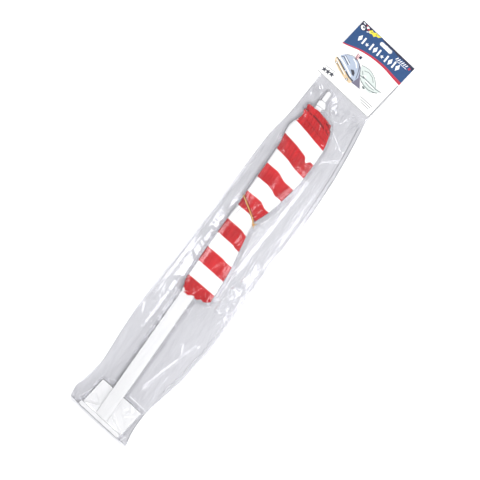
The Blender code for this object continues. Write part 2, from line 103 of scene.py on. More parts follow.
def mesh_object(name, points, faces, uvs=None):
    """A new object from points and faces, with a place on the cloth or film for each point."""
    data = bpy.data.meshes.new(name)
    data.from_pydata([tuple(point) for point in points], [], faces)
    if uvs is not None:
        layer = data.uv_layers.new(name="UVMap")
        corners = np.empty(len(data.loops), dtype=np.int32)
        data.loops.foreach_get("vertex_index", corners)
        layer.data.foreach_set("uv", np.asarray(uvs, dtype=np.float32)[corners].ravel())
    data.update()
    thing = bpy.data.objects.new(name, data)
    bpy.context.scene.collection.objects.link(thing)
    return thing


def outward(thing):
    """Merges doubled points and turns all faces outwards."""
    only(thing)
    bpy.ops.object.mode_set(mode="EDIT")
    bpy.ops.mesh.select_all(action="SELECT")
    bpy.ops.mesh.remove_doubles(threshold=1e-6)
    bpy.ops.mesh.normals_make_consistent(inside=False)
    bpy.ops.object.mode_set(mode="OBJECT")
    return thing


# %% [markdown]
# ## Writing shader sums as Python
# A pattern is a sum: where is this point, how far is it from a line, how strong is the ink there. Such sums
# could be built node by node, but they are easier to read as Python. `Wire` stands for one output of a
# shader node, and adding or multiplying two wires adds the Math node. `Paint` holds one material. Its
# `node` method adds any other node.

# %% Wires


class Wire:
    """One output in a material's node tree, usable in ordinary Python sums."""

    def __init__(self, paint, socket):
        self.paint = paint
        self.socket = socket

    def math(self, operation, *others):
        values = {number: value for number, value in enumerate((self, *others))}
        return self.paint.node("ShaderNodeMath", {"operation": operation}, values)

    def __add__(self, other):
        return self.math("ADD", other)

    def __sub__(self, other):
        return self.math("SUBTRACT", other)

    def __rsub__(self, other):
        return self.paint.node("ShaderNodeMath", {"operation": "SUBTRACT"}, {0: other, 1: self})

    def __mul__(self, other):
        return self.math("MULTIPLY", other)

    def __lt__(self, other):
        return self.math("LESS_THAN", other)

    def __gt__(self, other):
        return self.math("GREATER_THAN", other)

    def __abs__(self):
        return self.math("ABSOLUTE")

    __radd__ = __add__
    __rmul__ = __mul__

    def between(self, low, high, soft=0.0001):
        """1 from low to high and 0 outside, with soft edges."""
        return self.step(low, soft) * (1 - self.step(high, soft))

    def step(self, edge, soft=0.0001):
        """0 below the edge and 1 above it, over a soft width."""
        settings = {"interpolation_type": "SMOOTHSTEP"}
        values = {"Value": self, 1: edge - soft, 2: edge + soft}
        return self.paint.node("ShaderNodeMapRange", settings, values)


# %% Paints


class Paint:
    """A material: a Principled shader and the nodes that feed it."""

    def __init__(self, name, **values):
        self.material = bpy.data.materials.new(name)
        self.material.use_nodes = True
        self.tree = self.material.node_tree
        self.shader = self.tree.nodes["Principled BSDF"]
        self.end = self.tree.nodes["Material Output"]
        for socket, value in values.items():
            self.feed(self.shader.inputs[socket.replace("_", " ")], value)

    def feed(self, socket, value):
        """Links a wire to a socket, or sets the socket to a plain value."""
        if isinstance(value, Wire):
            self.tree.links.new(value.socket, socket)
        else:
            socket.default_value = value

    def node(self, kind, settings=None, values=None, output=0):
        """Any node: its type, its settings, the values or wires of its sockets, and which output to use."""
        made = self.tree.nodes.new(kind)
        for name, setting in (settings or {}).items():
            setattr(made, name, setting)
        for name, value in (values or {}).items():
            self.feed(made.inputs[name], value)
        return Wire(self, made.outputs[output])

    def axes(self, wire):
        """X, Y and Z of a vector, as three wires."""
        split = self.tree.nodes.new("ShaderNodeSeparateXYZ")
        self.feed(split.inputs[0], wire)
        return [Wire(self, socket) for socket in split.outputs]

    def place(self):
        return self.node("ShaderNodeTexCoord", output="Object")

    def uv(self):
        return self.node("ShaderNodeTexCoord", output="UV")

    def noise(self, where, scale, detail=2.0):
        return self.node("ShaderNodeTexNoise", None, {"Vector": where, "Scale": scale, "Detail": detail})

    def mapped(self, where, scale):
        """A place with each axis stretched by its own amount, so that noise comes out long or short."""
        return self.node("ShaderNodeMapping", None, {"Vector": where, "Scale": scale})

    def mix(self, share, first, second):
        """One colour going over to another."""
        values = {0: share, 6: first, 7: second}
        return self.node("ShaderNodeMix", {"data_type": "RGBA"}, values, output=2)

    def bump(self, height, strength, distance):
        values = {"Height": height, "Strength": strength, "Distance": distance}
        self.feed(self.shader.inputs["Normal"], self.node("ShaderNodeBump", None, values))

    def wear(self, thing):
        """Puts this paint on an object, in place of all it had."""
        thing.data.materials.clear()
        thing.data.materials.append(self.material)
        return thing


# %% Colours


def rgb(red, green, blue):
    """A screen colour from 0 to 255, as the linear colour that shaders take."""
    linear = [((c / 255 + 0.055) / 1.055) ** 2.4 if c > 10 else c / 255 / 12.92 for c in (red, green, blue)]
    return (*linear, 1.0)


print("middle grey, linear:", round(rgb(128, 128, 128)[0], 3))


# %% [markdown]
# ## The studio
# The pack lies on a white table under a long lens that looks straight down. The staff runs up and to the
# right in the picture, so the camera is rolled about its own line of sight and not the pack.
# A soft light overhead and three broad ones round it make the table white and the shadows faint. Film
# needs something else: bright, narrow lights that it can mirror. So there are strips too, which matt
# things don't see at all and which glossy things mirror as hard streaks.

# %% Camera
VIEW_WIDTH = 606.7 * MM
VIEW_CENTRE = Vector((14.5 * MM, 290.1 * MM, 0.008))
VIEW_ROLL = math.radians(35.15)
CAMERA_HEIGHT = 2.6

bpy.ops.object.select_all(action="DESELECT")
bpy.ops.object.camera_add(location=VIEW_CENTRE + Vector((0, 0, CAMERA_HEIGHT)), rotation=(0, 0, VIEW_ROLL))
camera = named("camera")
camera.data.sensor_width = 36
camera.data.lens = camera.data.sensor_width * CAMERA_HEIGHT / VIEW_WIDTH
camera.data.clip_start = 0.05
bpy.context.scene.camera = camera
print("lens, mm:", round(camera.data.lens, 1))

# %% Table
TABLE_SIZE = 6
TABLE_DROP = 0.6 * MM
bpy.ops.mesh.primitive_plane_add(size=TABLE_SIZE, location=(VIEW_CENTRE.x, VIEW_CENTRE.y, -TABLE_DROP))
table = apply_all(named("table"))
table_paint = Paint("table_white", Base_Color=(0.9, 0.9, 0.9, 1), Roughness=0.9)
table_paint.shader.inputs["Specular IOR Level"].default_value = 0.0
table_paint.wear(table)
print("table, m:", round(table.dimensions.x, 1))

# %% Lights


def studio_light(name, place, size, power, mirrored):
    """A rectangular light turned to the pack. A soft one only lights it; a strip is only mirrored."""
    bpy.ops.object.light_add(type="AREA", location=place)
    lamp = named(name)
    lamp.rotation_euler = (Vector(place) - VIEW_CENTRE).to_track_quat("Z", "Y").to_euler()
    lamp.data.shape = "RECTANGLE"
    lamp.data.size, lamp.data.size_y = size
    lamp.data.energy = power
    lamp.visible_glossy = mirrored
    lamp.visible_diffuse = not mirrored
    return lamp


# Name, place and size in metres, and power in watts.
SOFTS = (
    ("soft_over", (0.38, 0.04, 2.9), (0.42, 0.42), 52),
    ("soft_right", (1.5, 0.0, 1.5), (1.4, 1.4), 13),
    ("soft_left", (-1.5, 0.5, 1.5), (1.4, 1.4), 6),
    ("soft_top", (-0.1, 1.9, 1.6), (1.4, 1.4), 8),
)
STRIPS = (
    ("strip_right", (0.86, 0.30, 1.5), (0.26, 1.5), 9.5),
    ("strip_left", (-0.95, 0.20, 1.35), (0.26, 1.4), 9.0),
    ("strip_top", (0.45, 1.35, 1.4), (0.9, 0.5), 8.0),
    ("strip_low", (0.75, -0.55, 1.4), (0.24, 0.9), 4.8),
    ("panel_left", (-1.05, 0.25, 1.35), (0.8, 1.6), 1.6),
)
for lamps, mirrored in ((SOFTS, False), (STRIPS, True)):
    for name, place, size, power in lamps:
        studio_light(name, place, size, power, mirrored)
print("lights:", len(SOFTS) + len(STRIPS))

# %% Air around the studio
world = bpy.data.worlds.new("studio")
bpy.context.scene.world = world
world.use_nodes = True
air = world.node_tree.nodes["Background"]
air.inputs["Color"].default_value = (0.97, 0.98, 1.0, 1)
air.inputs["Strength"].default_value = 0.46
bpy.context.scene.view_settings.view_transform = "Standard"
print("light of the air:", round(air.inputs["Strength"].default_value, 2))

# %% [markdown]
# ## The moulded staff and clip
# The staff is injection-moulded polypropylene: white, a little waxy, with faint flow marks and soft edges.
# The solid model has the right shape with sharp edges. The three pieces whose edges show most are copied,
# their triangles are merged back to whole faces, and a narrow bevel catches the light as a mould's radius
# does. The others keep their own meshes and only wear the same paint.

# %% White plastic
plastic = Paint("white_polypropylene", Roughness=0.38)
spot = plastic.place()
flow = plastic.noise(plastic.mapped(spot, scale=(90, 14, 90)), 1.0, 3.0)
speck = plastic.noise(spot, 900.0, 2.0)
shade = plastic.mix(flow, rgb(222, 222, 220), rgb(236, 236, 235))
plastic.feed(plastic.shader.inputs["Base Color"], shade)
plastic.feed(plastic.shader.inputs["Roughness"], 0.30 + flow * 0.16)
plastic.bump(flow * 0.6 + speck * 0.4, 0.25, 0.0004)
print("nodes in the plastic's paint:", len(plastic.tree.nodes))

# %% Rounded copies of the sharp pieces


def moulded(node, width, body):
    """A copy of a solid-model piece with whole faces and rounded edges, which stands for it."""
    source = nodes[node]
    piece = bpy.data.objects.new(node + "_moulded", source.data.copy())
    bpy.context.scene.collection.objects.link(piece)
    only(piece)
    bpy.ops.mesh.customdata_custom_splitnormals_clear()
    bpy.ops.object.mode_set(mode="EDIT")
    bpy.ops.mesh.select_all(action="SELECT")
    bpy.ops.mesh.remove_doubles(threshold=2e-6)
    bpy.ops.mesh.dissolve_limited(angle_limit=math.radians(1))
    bpy.ops.object.mode_set(mode="OBJECT")
    rounding = piece.modifiers.new("rounding", "BEVEL")
    rounding.width = width
    rounding.segments = 3
    rounding.limit_method = "ANGLE"
    rounding.angle_limit = math.radians(40)
    apply_all(piece)
    bpy.ops.object.shade_smooth_by_angle(angle=math.radians(35))
    plastic.wear(piece)
    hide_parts(node)
    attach(piece, body)
    return piece


staff = moulded("staff_lower", 0.0005, "root")
collar = moulded("staff_collar", 0.0004, "root")
moulded("clip_leg", 0.0004, "clip_tongue")
PLAIN_MOULDED = (
    "staff_upper",
    "tip_barb",
    "staff_tip",
    "base_plate",
    "base_ledge",
    "gusset_left",
    "gusset_right",
    "hook_bridge",
)
for name in PLAIN_MOULDED:
    plastic.wear(nodes[name])
print("moulded pieces:", 3 + len(PLAIN_MOULDED))

# %% [markdown]
# ## The rolled flag
# The flag is one sheet, 279 mm on the staff and 406 mm long, rolled round the staff in not quite five
# turns. A sheet that is rolled is a spiral seen from its end, so every row of the mesh is a spiral that
# starts on the sleeve and ends on the front of the roll, where the last turn's hem shows as a step.
# A table of edges gives the roll's outline: full at the top, pinched to a waist by the tie, and bunched
# at the bottom hem. A cloth simulation could bunch it too, but not to a chosen outline.

# %% The roll's outline
roll_low, roll_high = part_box("flag_roll")
sleeve_low, sleeve_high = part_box("flag_sleeve")
HOIST = 0.2794
FLY = 0.406
TURNS = 4.9
HEM_HANG = 0.0062
hem_y = sleeve_low.y - HEM_HANG

# Height above the bottom hem, and the left and right edge there, in millimetres.
OUTLINE = (
    (0, -7.6, 28.2), (3, -9.0, 29.2), (6, -10.6, 29.5), (12, -13.2, 29.6),
    (20, -14.0, 29.2), (50, -14.3, 28.2), (66, -14.4, 26.6), (87, -14.5, 22.6),
    (108, -14.4, 18.8), (121, -13.8, 16.2), (126, -13.2, 15.6), (133, -13.2, 17.8),
    (141, -13.8, 22.0), (152, -14.2, 26.2), (165, -14.3, 28.8), (185, -14.3, 32.6),
    (205, -14.4, 35.4), (223, -15.2, 36.6), (235, -17.4, 37.0), (247, -18.6, 37.0),
    (256, -16.2, 36.6), (264, -12.6, 35.4), (271, -11.8, 34.0), (276, -13.8, 32.4),
    (280, -15.0, 29.6),
)
OUTLINE_HEIGHTS, OUTLINE_LEFTS, OUTLINE_RIGHTS = (np.array(column) * MM for column in zip(*OUTLINE))
print("rows in the outline:", len(OUTLINE))

# %% How the stripes run across the roll
# Height in millimetres, and the lean of the stripes there: a fall to the right all the way.
LEAN = (
    (0, 0.0), (14, 0.07), (22, 0.09), (66, 0.10), (110, 0.10), (150, 0.08),
    (194, 0.09), (216, 0.20), (237, 0.22), (258, 0.24), (280, 0.26),
)
# Height, and the step down at the long crease that runs up the roll, in millimetres.
CREASE = (
    (0, 0.0), (60, 0.8), (85, 2.0), (110, 2.6), (130, 3.4),
    (150, 4.6), (194, 5.2), (216, 2.2), (240, 1.4), (258, 0.6),
)
CREASE_AT = 13.4 * MM
# Height, and how far the turns inside stand up past the last one, in millimetres.
PROUD = ((0, -1.8), (12, -1.0), (40, 0.0), (240, 0.0), (262, 3.6), (280, 7.2))
TIE_HEIGHT = 133.4 * MM
TIE_LEAN = 0.667


def along(table, height):
    """What a table says at a height."""
    heights, values = zip(*table)
    return np.interp(height, np.array(heights) * MM, values)


def smooth_line(heights, values, at, spread=2.0 * MM):
    """A table read with soft corners: the mean of five readings close together."""
    shifts = (-2, -1, 0, 1, 2)
    return sum(np.interp(at + shift * spread / 2, heights, values) for shift in shifts) / len(shifts)


def fall(height, x):
    """How far a thread across the cloth has come down, at a height and a distance across."""
    step = 1 / (1 + np.exp(-(x - CREASE_AT) / (1.5 * MM)))
    notch = np.exp(-(((x - 0.0258) / 0.0030) ** 2) - ((height - 0.2365) / 0.0060) ** 2)
    return along(LEAN, height) * (x + 0.0144) + along(CREASE, height) * MM * step + 0.0060 * notch


print("fall of the topmost stripe at the crease, mm:", round(float(fall(HOIST, CREASE_AT)) / MM, 1))


# %% One layer's section


def section(height):
    """The left, right, lowest and highest reach of the roll at heights above the bottom hem."""
    left = smooth_line(OUTLINE_HEIGHTS, OUTLINE_LEFTS, height)
    right = smooth_line(OUTLINE_HEIGHTS, OUTLINE_RIGHTS, height)
    pinch = np.exp(-(((height - TIE_HEIGHT) / (20 * MM)) ** 2))
    foot = np.clip(1 - height / (9 * MM), 0, 1)
    head = np.clip(1 - (HOIST - height) / (9 * MM), 0, 1)
    low = roll_low.z + 0.0002 + 0.0028 * pinch + 0.0016 * (foot + head)
    high = roll_high.z - 0.0004 - 0.0010 * pinch - 0.0012 * foot - 0.0001 * head
    return left, right, low, high


def oval(turn, half_x, half_z, power):
    """A rounded-square curve: its X and Z at an angle."""
    x = np.sign(np.cos(turn)) * np.abs(np.cos(turn)) ** (2 / power) * half_x
    z = np.sign(np.sin(turn)) * np.abs(np.sin(turn)) ** (2 / power) * half_z
    return x, z


waist = section(np.array([TIE_HEIGHT]))
print("waist, mm:", round(float(waist[1][0] - waist[0][0]) / MM, 1))

# %% Wrinkles
core_x = (sleeve_high.x - sleeve_low.x) / 2 + 0.0004
core_z = (sleeve_high.z - sleeve_low.z) / 2 + 0.0003
core_centre = (sleeve_low.z + sleeve_high.z) / 2
tie_middle = 1.7 * MM
print("core of the roll, mm:", round(2 * core_x / MM, 1), round(2 * core_z / MM, 1))


def wrinkle(turn, height, share):
    """How far the cloth stands out from a smooth roll: folds run out of the tie, and the hems ruck up."""
    away = (height - TIE_HEIGHT) / (22 * MM)
    gather = np.exp(-(away**2))
    folds = np.sin(turn * 7 + 2.1 + away) + 0.7 * np.sin(turn * 13 + 0.7 - 1.5 * away)
    slack = np.sin(turn * 3 + height * 22) * np.sin(height * 47 + 1.3)
    hem = np.exp(-((height / (9 * MM)) ** 2))
    rucks = (np.sin(height * 1100 + 3 * np.sin(turn * 3)) + np.sin(turn * 11 + height * 300)) * hem
    head = np.exp(-(((HOIST - height) / (9 * MM)) ** 2))
    ruffle = (np.sin(turn * 9 + 1.0) + 0.6 * np.sin(turn * 17 + 2.0)) * head
    return share * (0.00055 * folds * gather + 0.00030 * slack + 0.00050 * rucks + 0.00055 * ruffle)


# %% The spiral
# How many points lie round the outermost turn and round those inside, and how square a turn is where the
# roll is loose and where it is tied.
OUTER_COLUMNS = 146
INNER_COLUMNS = 110
CLOTH_ROWS = 186
FLY_END = math.radians(24)
LOOSE_POWER = 4.6
TIED_POWER = 3.0


def flag_points():
    """Points of the sheet row by row, the place of each on the flat cloth, and the length rolled up."""
    outer = np.linspace(1, 1 - 1.3 / TURNS, OUTER_COLUMNS, endpoint=False)
    inner = np.linspace(1 - 1.3 / TURNS, 0, INNER_COLUMNS)
    wound = np.concatenate([outer, inner])[::-1]
    grid_h, grid_w = np.meshgrid(np.linspace(0, HOIST, CLOTH_ROWS), wound, indexing="ij")
    left, right, low, high = section(grid_h)
    centre_x, half_x = (left + right) / 2, (right - left) / 2
    centre_z, half_z = (low + high) / 2, (high - low) / 2
    turn = FLY_END + 2 * math.pi * TURNS * (1 - grid_w)
    share = 1 - (1 - grid_w) ** 1.6
    tied = np.exp(-(((grid_h - TIE_HEIGHT) / (16 * MM)) ** 2))
    outer_x, outer_z = oval(turn, half_x, half_z, LOOSE_POWER - (LOOSE_POWER - TIED_POWER) * tied)
    inner_x, inner_z = oval(turn, core_x, core_z, 4.0)
    x = (centre_x + outer_x) * share + inner_x * (1 - share)
    z = (centre_z + outer_z) * share + (core_centre + inner_z) * (1 - share)
    tie_line = grid_h - TIE_HEIGHT + TIE_LEAN * (x - tie_middle)
    groove = np.exp(-((tie_line / (2.0 * MM)) ** 2)) * 0.0010
    groove = groove - np.exp(-((tie_line / (7 * MM)) ** 2)) * 0.0004
    swell = wrinkle(turn, grid_h, share) - groove * share
    front = np.clip(np.sin(turn), 0, 1)
    crease = np.exp(-(((x - CREASE_AT) / (2.2 * MM)) ** 2)) * along(CREASE, grid_h) * front * share
    x = x + np.cos(turn) * swell
    z = z + np.sin(turn) * (swell - 0.00014 * crease)
    # The turns inside show past the hems, and the hems themselves are tucked and a little rough.
    wound_in = TURNS * (1 - grid_w)
    inside = 1 / (1 + np.exp(-(wound_in - 1.0) * 14)) * (1 - 1 / (1 + np.exp(-(wound_in - 2.6) * 9)))
    tuck = 0.0050 * np.exp(-grid_h / (5 * MM)) * (1 - 0.7 * inside)
    rough_hem = 0.0007 * np.sin(turn * 5 + 1.1) + 0.0005 * np.sin(turn * 13)
    rough_hem = rough_hem * np.exp(-np.minimum(grid_h, HOIST - grid_h) / (6 * MM))
    y = hem_y + grid_h + tuck + rough_hem - fall(grid_h, x) * (0.25 + 0.75 * share)
    y = y + along(PROUD, grid_h) * MM * inside
    right_hem = 1 / (1 + np.exp(-(x - 0.0150) / (1.1 * MM)))
    y = y + 0.0040 * right_hem * np.exp(-grid_h / (7 * MM))
    y = y - 0.0036 * np.exp(-(((x + 0.0150) / 0.0045) ** 2) - (HOIST - grid_h) / (6 * MM))
    points = np.stack([x, y, z], axis=-1)
    step = np.linalg.norm(np.diff(points[CLOTH_ROWS * 4 // 5], axis=0), axis=1)
    along_fly = np.concatenate([[0], np.cumsum(step)]) / step.sum()
    uvs = np.stack(np.broadcast_arrays(along_fly[None, :], grid_h / HOIST), axis=-1)
    return points, uvs, step.sum()


cloth_grid, cloth_uv, fly_length = flag_points()
print("flag length rolled up, mm:", round(fly_length / MM))

# %% The sheet as a mesh


def grid_faces(rows, columns):
    """Four-sided faces between neighbouring rows and columns."""
    corner = np.arange(rows * columns).reshape(rows, columns)
    quads = [corner[:-1, :-1], corner[:-1, 1:], corner[1:, 1:], corner[1:, :-1]]
    return np.stack(quads, axis=-1).reshape(-1, 4).tolist()


CLOTH_WALL = 0.22 * MM
cloth_faces = grid_faces(*cloth_grid.shape[:2])
flag = mesh_object("flag_cloth", cloth_grid.reshape(-1, 3), cloth_faces, cloth_uv.reshape(-1, 2))
wall = flag.modifiers.new("cloth", "SOLIDIFY")
wall.thickness = CLOTH_WALL
wall.offset = 0.0
apply_all(flag)
bpy.ops.object.shade_smooth_by_angle(angle=math.radians(60))
print("faces in the flag:", len(flag.data.polygons))

# %% [markdown]
# ## Printed cloth
# Thin knitted polyester, printed in thirteen stripes with a dark corner that the roll hides. The pattern
# reads the cloth's own map, so it winds with the sheet. Fine threads run both ways, the dye is uneven, and
# a stitched hem runs near each edge. Shade is painted into two lines, darker than their stripe: the fold
# under the upper hem, and the crease that the tie presses into the cloth.

# %% Threads and dyes
THREAD_PITCH = 0.62 * MM
ROW_PITCH = 0.75 * MM
cloth = Paint("printed_polyester", Roughness=0.8)
across, up, _ = cloth.axes(cloth.uv())
red_stripe = (up * 6.5).math("FRACT") < 0.5
canton = (across < 0.38) * (up > 6 / 13)
flat_cloth = cloth.mapped(cloth.uv(), scale=(FLY, HOIST, 1))
blotch = cloth.noise(flat_cloth, 38.0, 3.0)
thread_up = (across * (FLY / THREAD_PITCH)).math("SINE")
thread_across = (up * (HOIST / ROW_PITCH)).math("SINE")
slub = cloth.noise(cloth.mapped(cloth.uv(), scale=(FLY * 900, HOIST * 40, 1)), 1.0, 2.0)
weave = thread_up * 0.5 + thread_across * 0.35 + slub * 0.9
rib = cloth.noise(cloth.mapped(cloth.uv(), scale=(FLY * 360, HOIST * 14, 1)), 1.0, 3.0)
red = cloth.mix(blotch.step(0.5, 0.16), rgb(176, 8, 16), rgb(206, 26, 32))
red = cloth.mix(slub * 0.35, red, rgb(216, 46, 48))
red = cloth.mix(rib.step(0.54, 0.10) * 0.45, red, rgb(150, 4, 12))
red = cloth.mix(thread_up.step(0.2, 0.6) * 0.14, red, rgb(120, 6, 14))
white = cloth.mix(blotch, rgb(238, 238, 236), rgb(249, 249, 248))
white = cloth.mix(rib.step(0.56, 0.08) * 0.30, white, rgb(222, 224, 224))
white = cloth.mix(blotch.step(0.60, 0.08) * 0.10, white, rgb(235, 176, 172))
blue = cloth.mix(slub * 0.3, rgb(28, 38, 92), rgb(52, 66, 128))
dye_and_painted_shade = cloth.mix(canton, cloth.mix(red_stripe, white, red), blue)
print("nodes in the cloth's paint so far:", len(cloth.tree.nodes))

# %% Hems, with painted shade at the hem fold and the tie's crease
HEM_FOLD_SHADE_RED = rgb(96, 4, 8)
TIE_CROSSING = 0.3295  # where the tie's line would cross the staff's axis
hem_line = abs(up - 0.5).between(0.5 - 0.0052 / HOIST, 0.5 - 0.0047 / HOIST, 0.0004)
dash = (across * (FLY / 0.0026)).math("FRACT") < 0.62
dye_and_painted_shade = cloth.mix(hem_line * dash * 0.35, dye_and_painted_shade, rgb(120, 40, 40))
outermost = across > 0.70
# Painted shade: the top edge of the outer turn is darkened, and a fainter line under it, where the upper
# hem folds over.
dye_and_painted_shade = cloth.mix(up.step(0.9925, 0.0035) * outermost * 0.85, dye_and_painted_shade, HEM_FOLD_SHADE_RED)
dye_and_painted_shade = cloth.mix(up.between(0.955, 0.962, 0.003) * outermost * 0.30, dye_and_painted_shade, HEM_FOLD_SHADE_RED)
x_on, y_on, _ = cloth.axes(cloth.place())
from_tie = abs(y_on + x_on * TIE_LEAN - TIE_CROSSING)
# Painted shade: a dark red band along the tie's line, where the crease that it presses into the cloth lies
# in shadow.
dye_and_painted_shade = cloth.mix((1 - from_tie.step(0.0022, 0.0012)) * 0.80, dye_and_painted_shade, rgb(76, 4, 6))
cloth.feed(cloth.shader.inputs["Base Color"], dye_and_painted_shade)
cloth.feed(cloth.shader.inputs["Roughness"], 0.72 + slub * 0.16)
cloth.bump(weave, 0.35, 0.00012)
cloth.shader.inputs["Sheen Weight"].default_value = 0.08
cloth.shader.inputs["Sheen Roughness"].default_value = 0.4
cloth.wear(flag)
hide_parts("flag_roll")
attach(flag, "root")
cloth.wear(nodes["flag_sleeve"])
print("nodes in the cloth's paint:", len(cloth.tree.nodes))

# %% [markdown]
# ## The elastic tie
# A thin golden elastic goes once round the waist and is knotted at the right edge. Real elastic of this
# kind is two strands twisted together, so two tubes wind about one path. The path starts as an oval round
# the waist. Then each of its points is moved in or out until it lies just on the cloth.

# %% The tie's path
TIE_STRAND = 0.46 * MM
TIE_TWIST = 3.0 * MM


def tie_centre(turn):
    """A point of the tie's path, just off the cloth, in a plane that leans down to the right."""
    height = np.full_like(turn, TIE_HEIGHT)
    for _ in range(8):
        left, right, low, high = section(height)
        x, z = oval(turn, (right - left) / 2 - 0.0002, (high - low) / 2 - 0.0002, 2.4)
        x = x + (left + right) / 2
        height = TIE_HEIGHT - TIE_LEAN * (x - tie_middle) * 0.92
    y = hem_y + height - fall(height, x)
    return np.stack([x, y, z + (low + high) / 2], axis=-1)


def strand(name, path, radius, closed):
    """A round strand along a path, as a mesh."""
    curve = bpy.data.curves.new(name, "CURVE")
    curve.dimensions = "3D"
    curve.bevel_depth = radius
    curve.bevel_resolution = 2
    curve.use_fill_caps = True
    line = curve.splines.new("POLY")
    line.points.add(len(path) - 1)
    line.points.foreach_set("co", np.column_stack([path, np.ones(len(path))]).ravel())
    line.use_cyclic_u = closed
    made = bpy.data.objects.new(name, curve)
    bpy.context.scene.collection.objects.link(made)
    only(made)
    bpy.ops.object.convert(target="MESH")
    outward(made)
    bpy.ops.object.shade_smooth()
    return made


def onto_cloth(path, outwards):
    """The path moved in or out to lie just on the cloth, with the small dips bridged."""
    tree = BVHTree.FromObject(flag, bpy.context.evaluated_depsgraph_get())
    reach = []
    for point, way in zip(path, outwards):
        hit = tree.ray_cast(Vector(point + way * 0.02), Vector(-way))[0]
        reach.append(float(np.dot(np.array(hit) - point, way)) if hit else 0.0)
    reach = np.array(reach)
    bridged = np.max([np.roll(reach, shift) for shift in range(-3, 4)], axis=0)
    smooth = np.mean([np.roll(bridged, shift) for shift in range(-3, 4)], axis=0)
    return path + outwards * (smooth + 0.0004)[:, None]


turns = np.linspace(0, 2 * math.pi, 260, endpoint=False)
outwards = np.stack([np.cos(turns), np.zeros_like(turns), np.sin(turns)], axis=-1)
tie_path = onto_cloth(tie_centre(turns), outwards)
run = np.concatenate([[0], np.cumsum(np.linalg.norm(np.diff(tie_path, axis=0), axis=1))])
print("tie length, mm:", round(run[-1] / MM))

# %% Two twisted strands
winds = round(run[-1] / TIE_TWIST)
side = np.array([0.0, 1.0, 0.0])
strands = []
for number in range(2):
    phase = run / run[-1] * winds * 2 * math.pi + number * math.pi
    path = tie_path + (outwards * np.cos(phase)[:, None] + side * np.sin(phase)[:, None]) * TIE_STRAND * 0.9
    strands.append(strand(f"tie_strand_{number + 1}", path, TIE_STRAND, True))
print("winds in the tie:", winds)

# %% Knot
knot_at = tie_path[0] + np.array([0.0010, -0.0004, 0.0])


def knot_path(size):
    """A trefoil: the line that an overhand knot follows."""
    turn = np.linspace(0, 2 * math.pi, 72, endpoint=False)
    x = np.sin(turn) + 2 * np.sin(2 * turn)
    y = np.cos(turn) - 2 * np.cos(2 * turn)
    z = -np.sin(3 * turn)
    return np.stack([x * 0.36, y * 0.42, z * 0.5], axis=-1) * size


def tail_path(reach, drop):
    """A short cut end that springs away from the knot and droops."""
    go = np.linspace(0, 1, 14)
    return np.stack([reach * go, drop * go**1.5, 0.0012 * np.sin(go * 2.4)], axis=-1)


knot = strand("tie_knot_loops", knot_at + knot_path(0.0014), TIE_STRAND, True)
tail_up = strand("tie_tail_up", knot_at + tail_path(0.0034, 0.0030), TIE_STRAND * 0.9, False)
tail_down = strand("tie_tail_down", knot_at + tail_path(0.0026, -0.0036), TIE_STRAND * 0.9, False)
print("knot at, mm:", [round(float(v) / MM, 1) for v in knot_at])

# %% Elastic
elastic = Paint("gold_elastic", Roughness=0.45)
rib = elastic.noise(elastic.place(), 1800.0, 2.0)
elastic.feed(elastic.shader.inputs["Base Color"], elastic.mix(rib, rgb(206, 140, 44), rgb(250, 206, 112)))
elastic.bump(rib, 0.4, 0.0002)
for piece in (*strands, knot, tail_up, tail_down):
    elastic.wear(piece)
    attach(piece, "root")
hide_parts("tie_band")
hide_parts("tie_knot")
print("pieces of elastic:", len(strands) + 3)

# %% [markdown]
# ## The bag
# The bag is thin clear film, welded across the clip's end and open under the card, where it is flattened
# between the card's panels. It is made as two walls of film: a front that is laid over what is inside, and
# a back that lies on the table. The front is found the way a drum skin finds its shape. Every point is
# pulled to the mean of its neighbours, and lifted again where it would sink into the contents, until
# hardly anything moves. Cloth simulation could do this too, but film this thin takes long to come to rest.

# %% The bag's edges
back_points = np.array([vertex.co for vertex in nodes["bag_back_film"].data.vertices])
back_points = np.unique(np.round(back_points[back_points[:, 2] < 0.0001], 6), axis=0)
MIDDLE = 12 * MM  # between the bag's left and right edge, all the way up
left_points = back_points[back_points[:, 0] < MIDDLE]
right_points = back_points[back_points[:, 0] >= MIDDLE]
left_points = left_points[np.argsort(left_points[:, 1])]
right_points = right_points[np.argsort(right_points[:, 1])]
print("points down the bag's edges:", len(left_points), len(right_points))

# %% Rows across the bag
# The bag's ends lean, the lower one with the clip and the upper one with the card, so the rows do too.
BASE_TURN = math.radians(7.4)
CARD_TURN = math.radians(8.4)
CARD_LEAN = math.tan(CARD_TURN)
BASE_LEAN = math.tan(BASE_TURN)
BAG_LENGTH = 0.515
FILM_ROWS = 384
FILM_COLUMNS = 118


def row_heights_of(points):
    """The height on the staff's axis of the leaning row that each edge point belongs to."""
    share = np.clip(points[:, 1] / BAG_LENGTH, 0, 1)
    return points[:, 1] + points[:, 0] * (BASE_LEAN + (CARD_LEAN - BASE_LEAN) * share)


left_rows = row_heights_of(left_points)
right_rows = row_heights_of(right_points)
first_row = max(left_rows[0], right_rows[0])
last_row = min(left_rows[-1], right_rows[-1])
film_rows = np.linspace(first_row, last_row, FILM_ROWS)


def soft_edge(rows, points, column):
    """An edge coordinate on every row, with the corners of the table rounded off."""
    read = np.interp(film_rows, rows, points[:, column])
    width = 2
    padded = np.pad(read, width, mode="reflect", reflect_type="odd")
    kernel = np.hanning(2 * width + 1)
    return np.convolve(padded, kernel / kernel.sum(), mode="valid")


edge_left = np.stack([soft_edge(left_rows, left_points, k) for k in (0, 1)], axis=-1)
edge_right = np.stack([soft_edge(right_rows, right_points, k) for k in (0, 1)], axis=-1)
across_film = np.linspace(0, 1, FILM_COLUMNS)
film_x = edge_left[:, :1] + (edge_right[:, :1] - edge_left[:, :1]) * across_film
film_y = edge_left[:, 1:] + (edge_right[:, 1:] - edge_left[:, 1:]) * across_film
print("points in the film:", film_x.size)

# %% What the film lies over


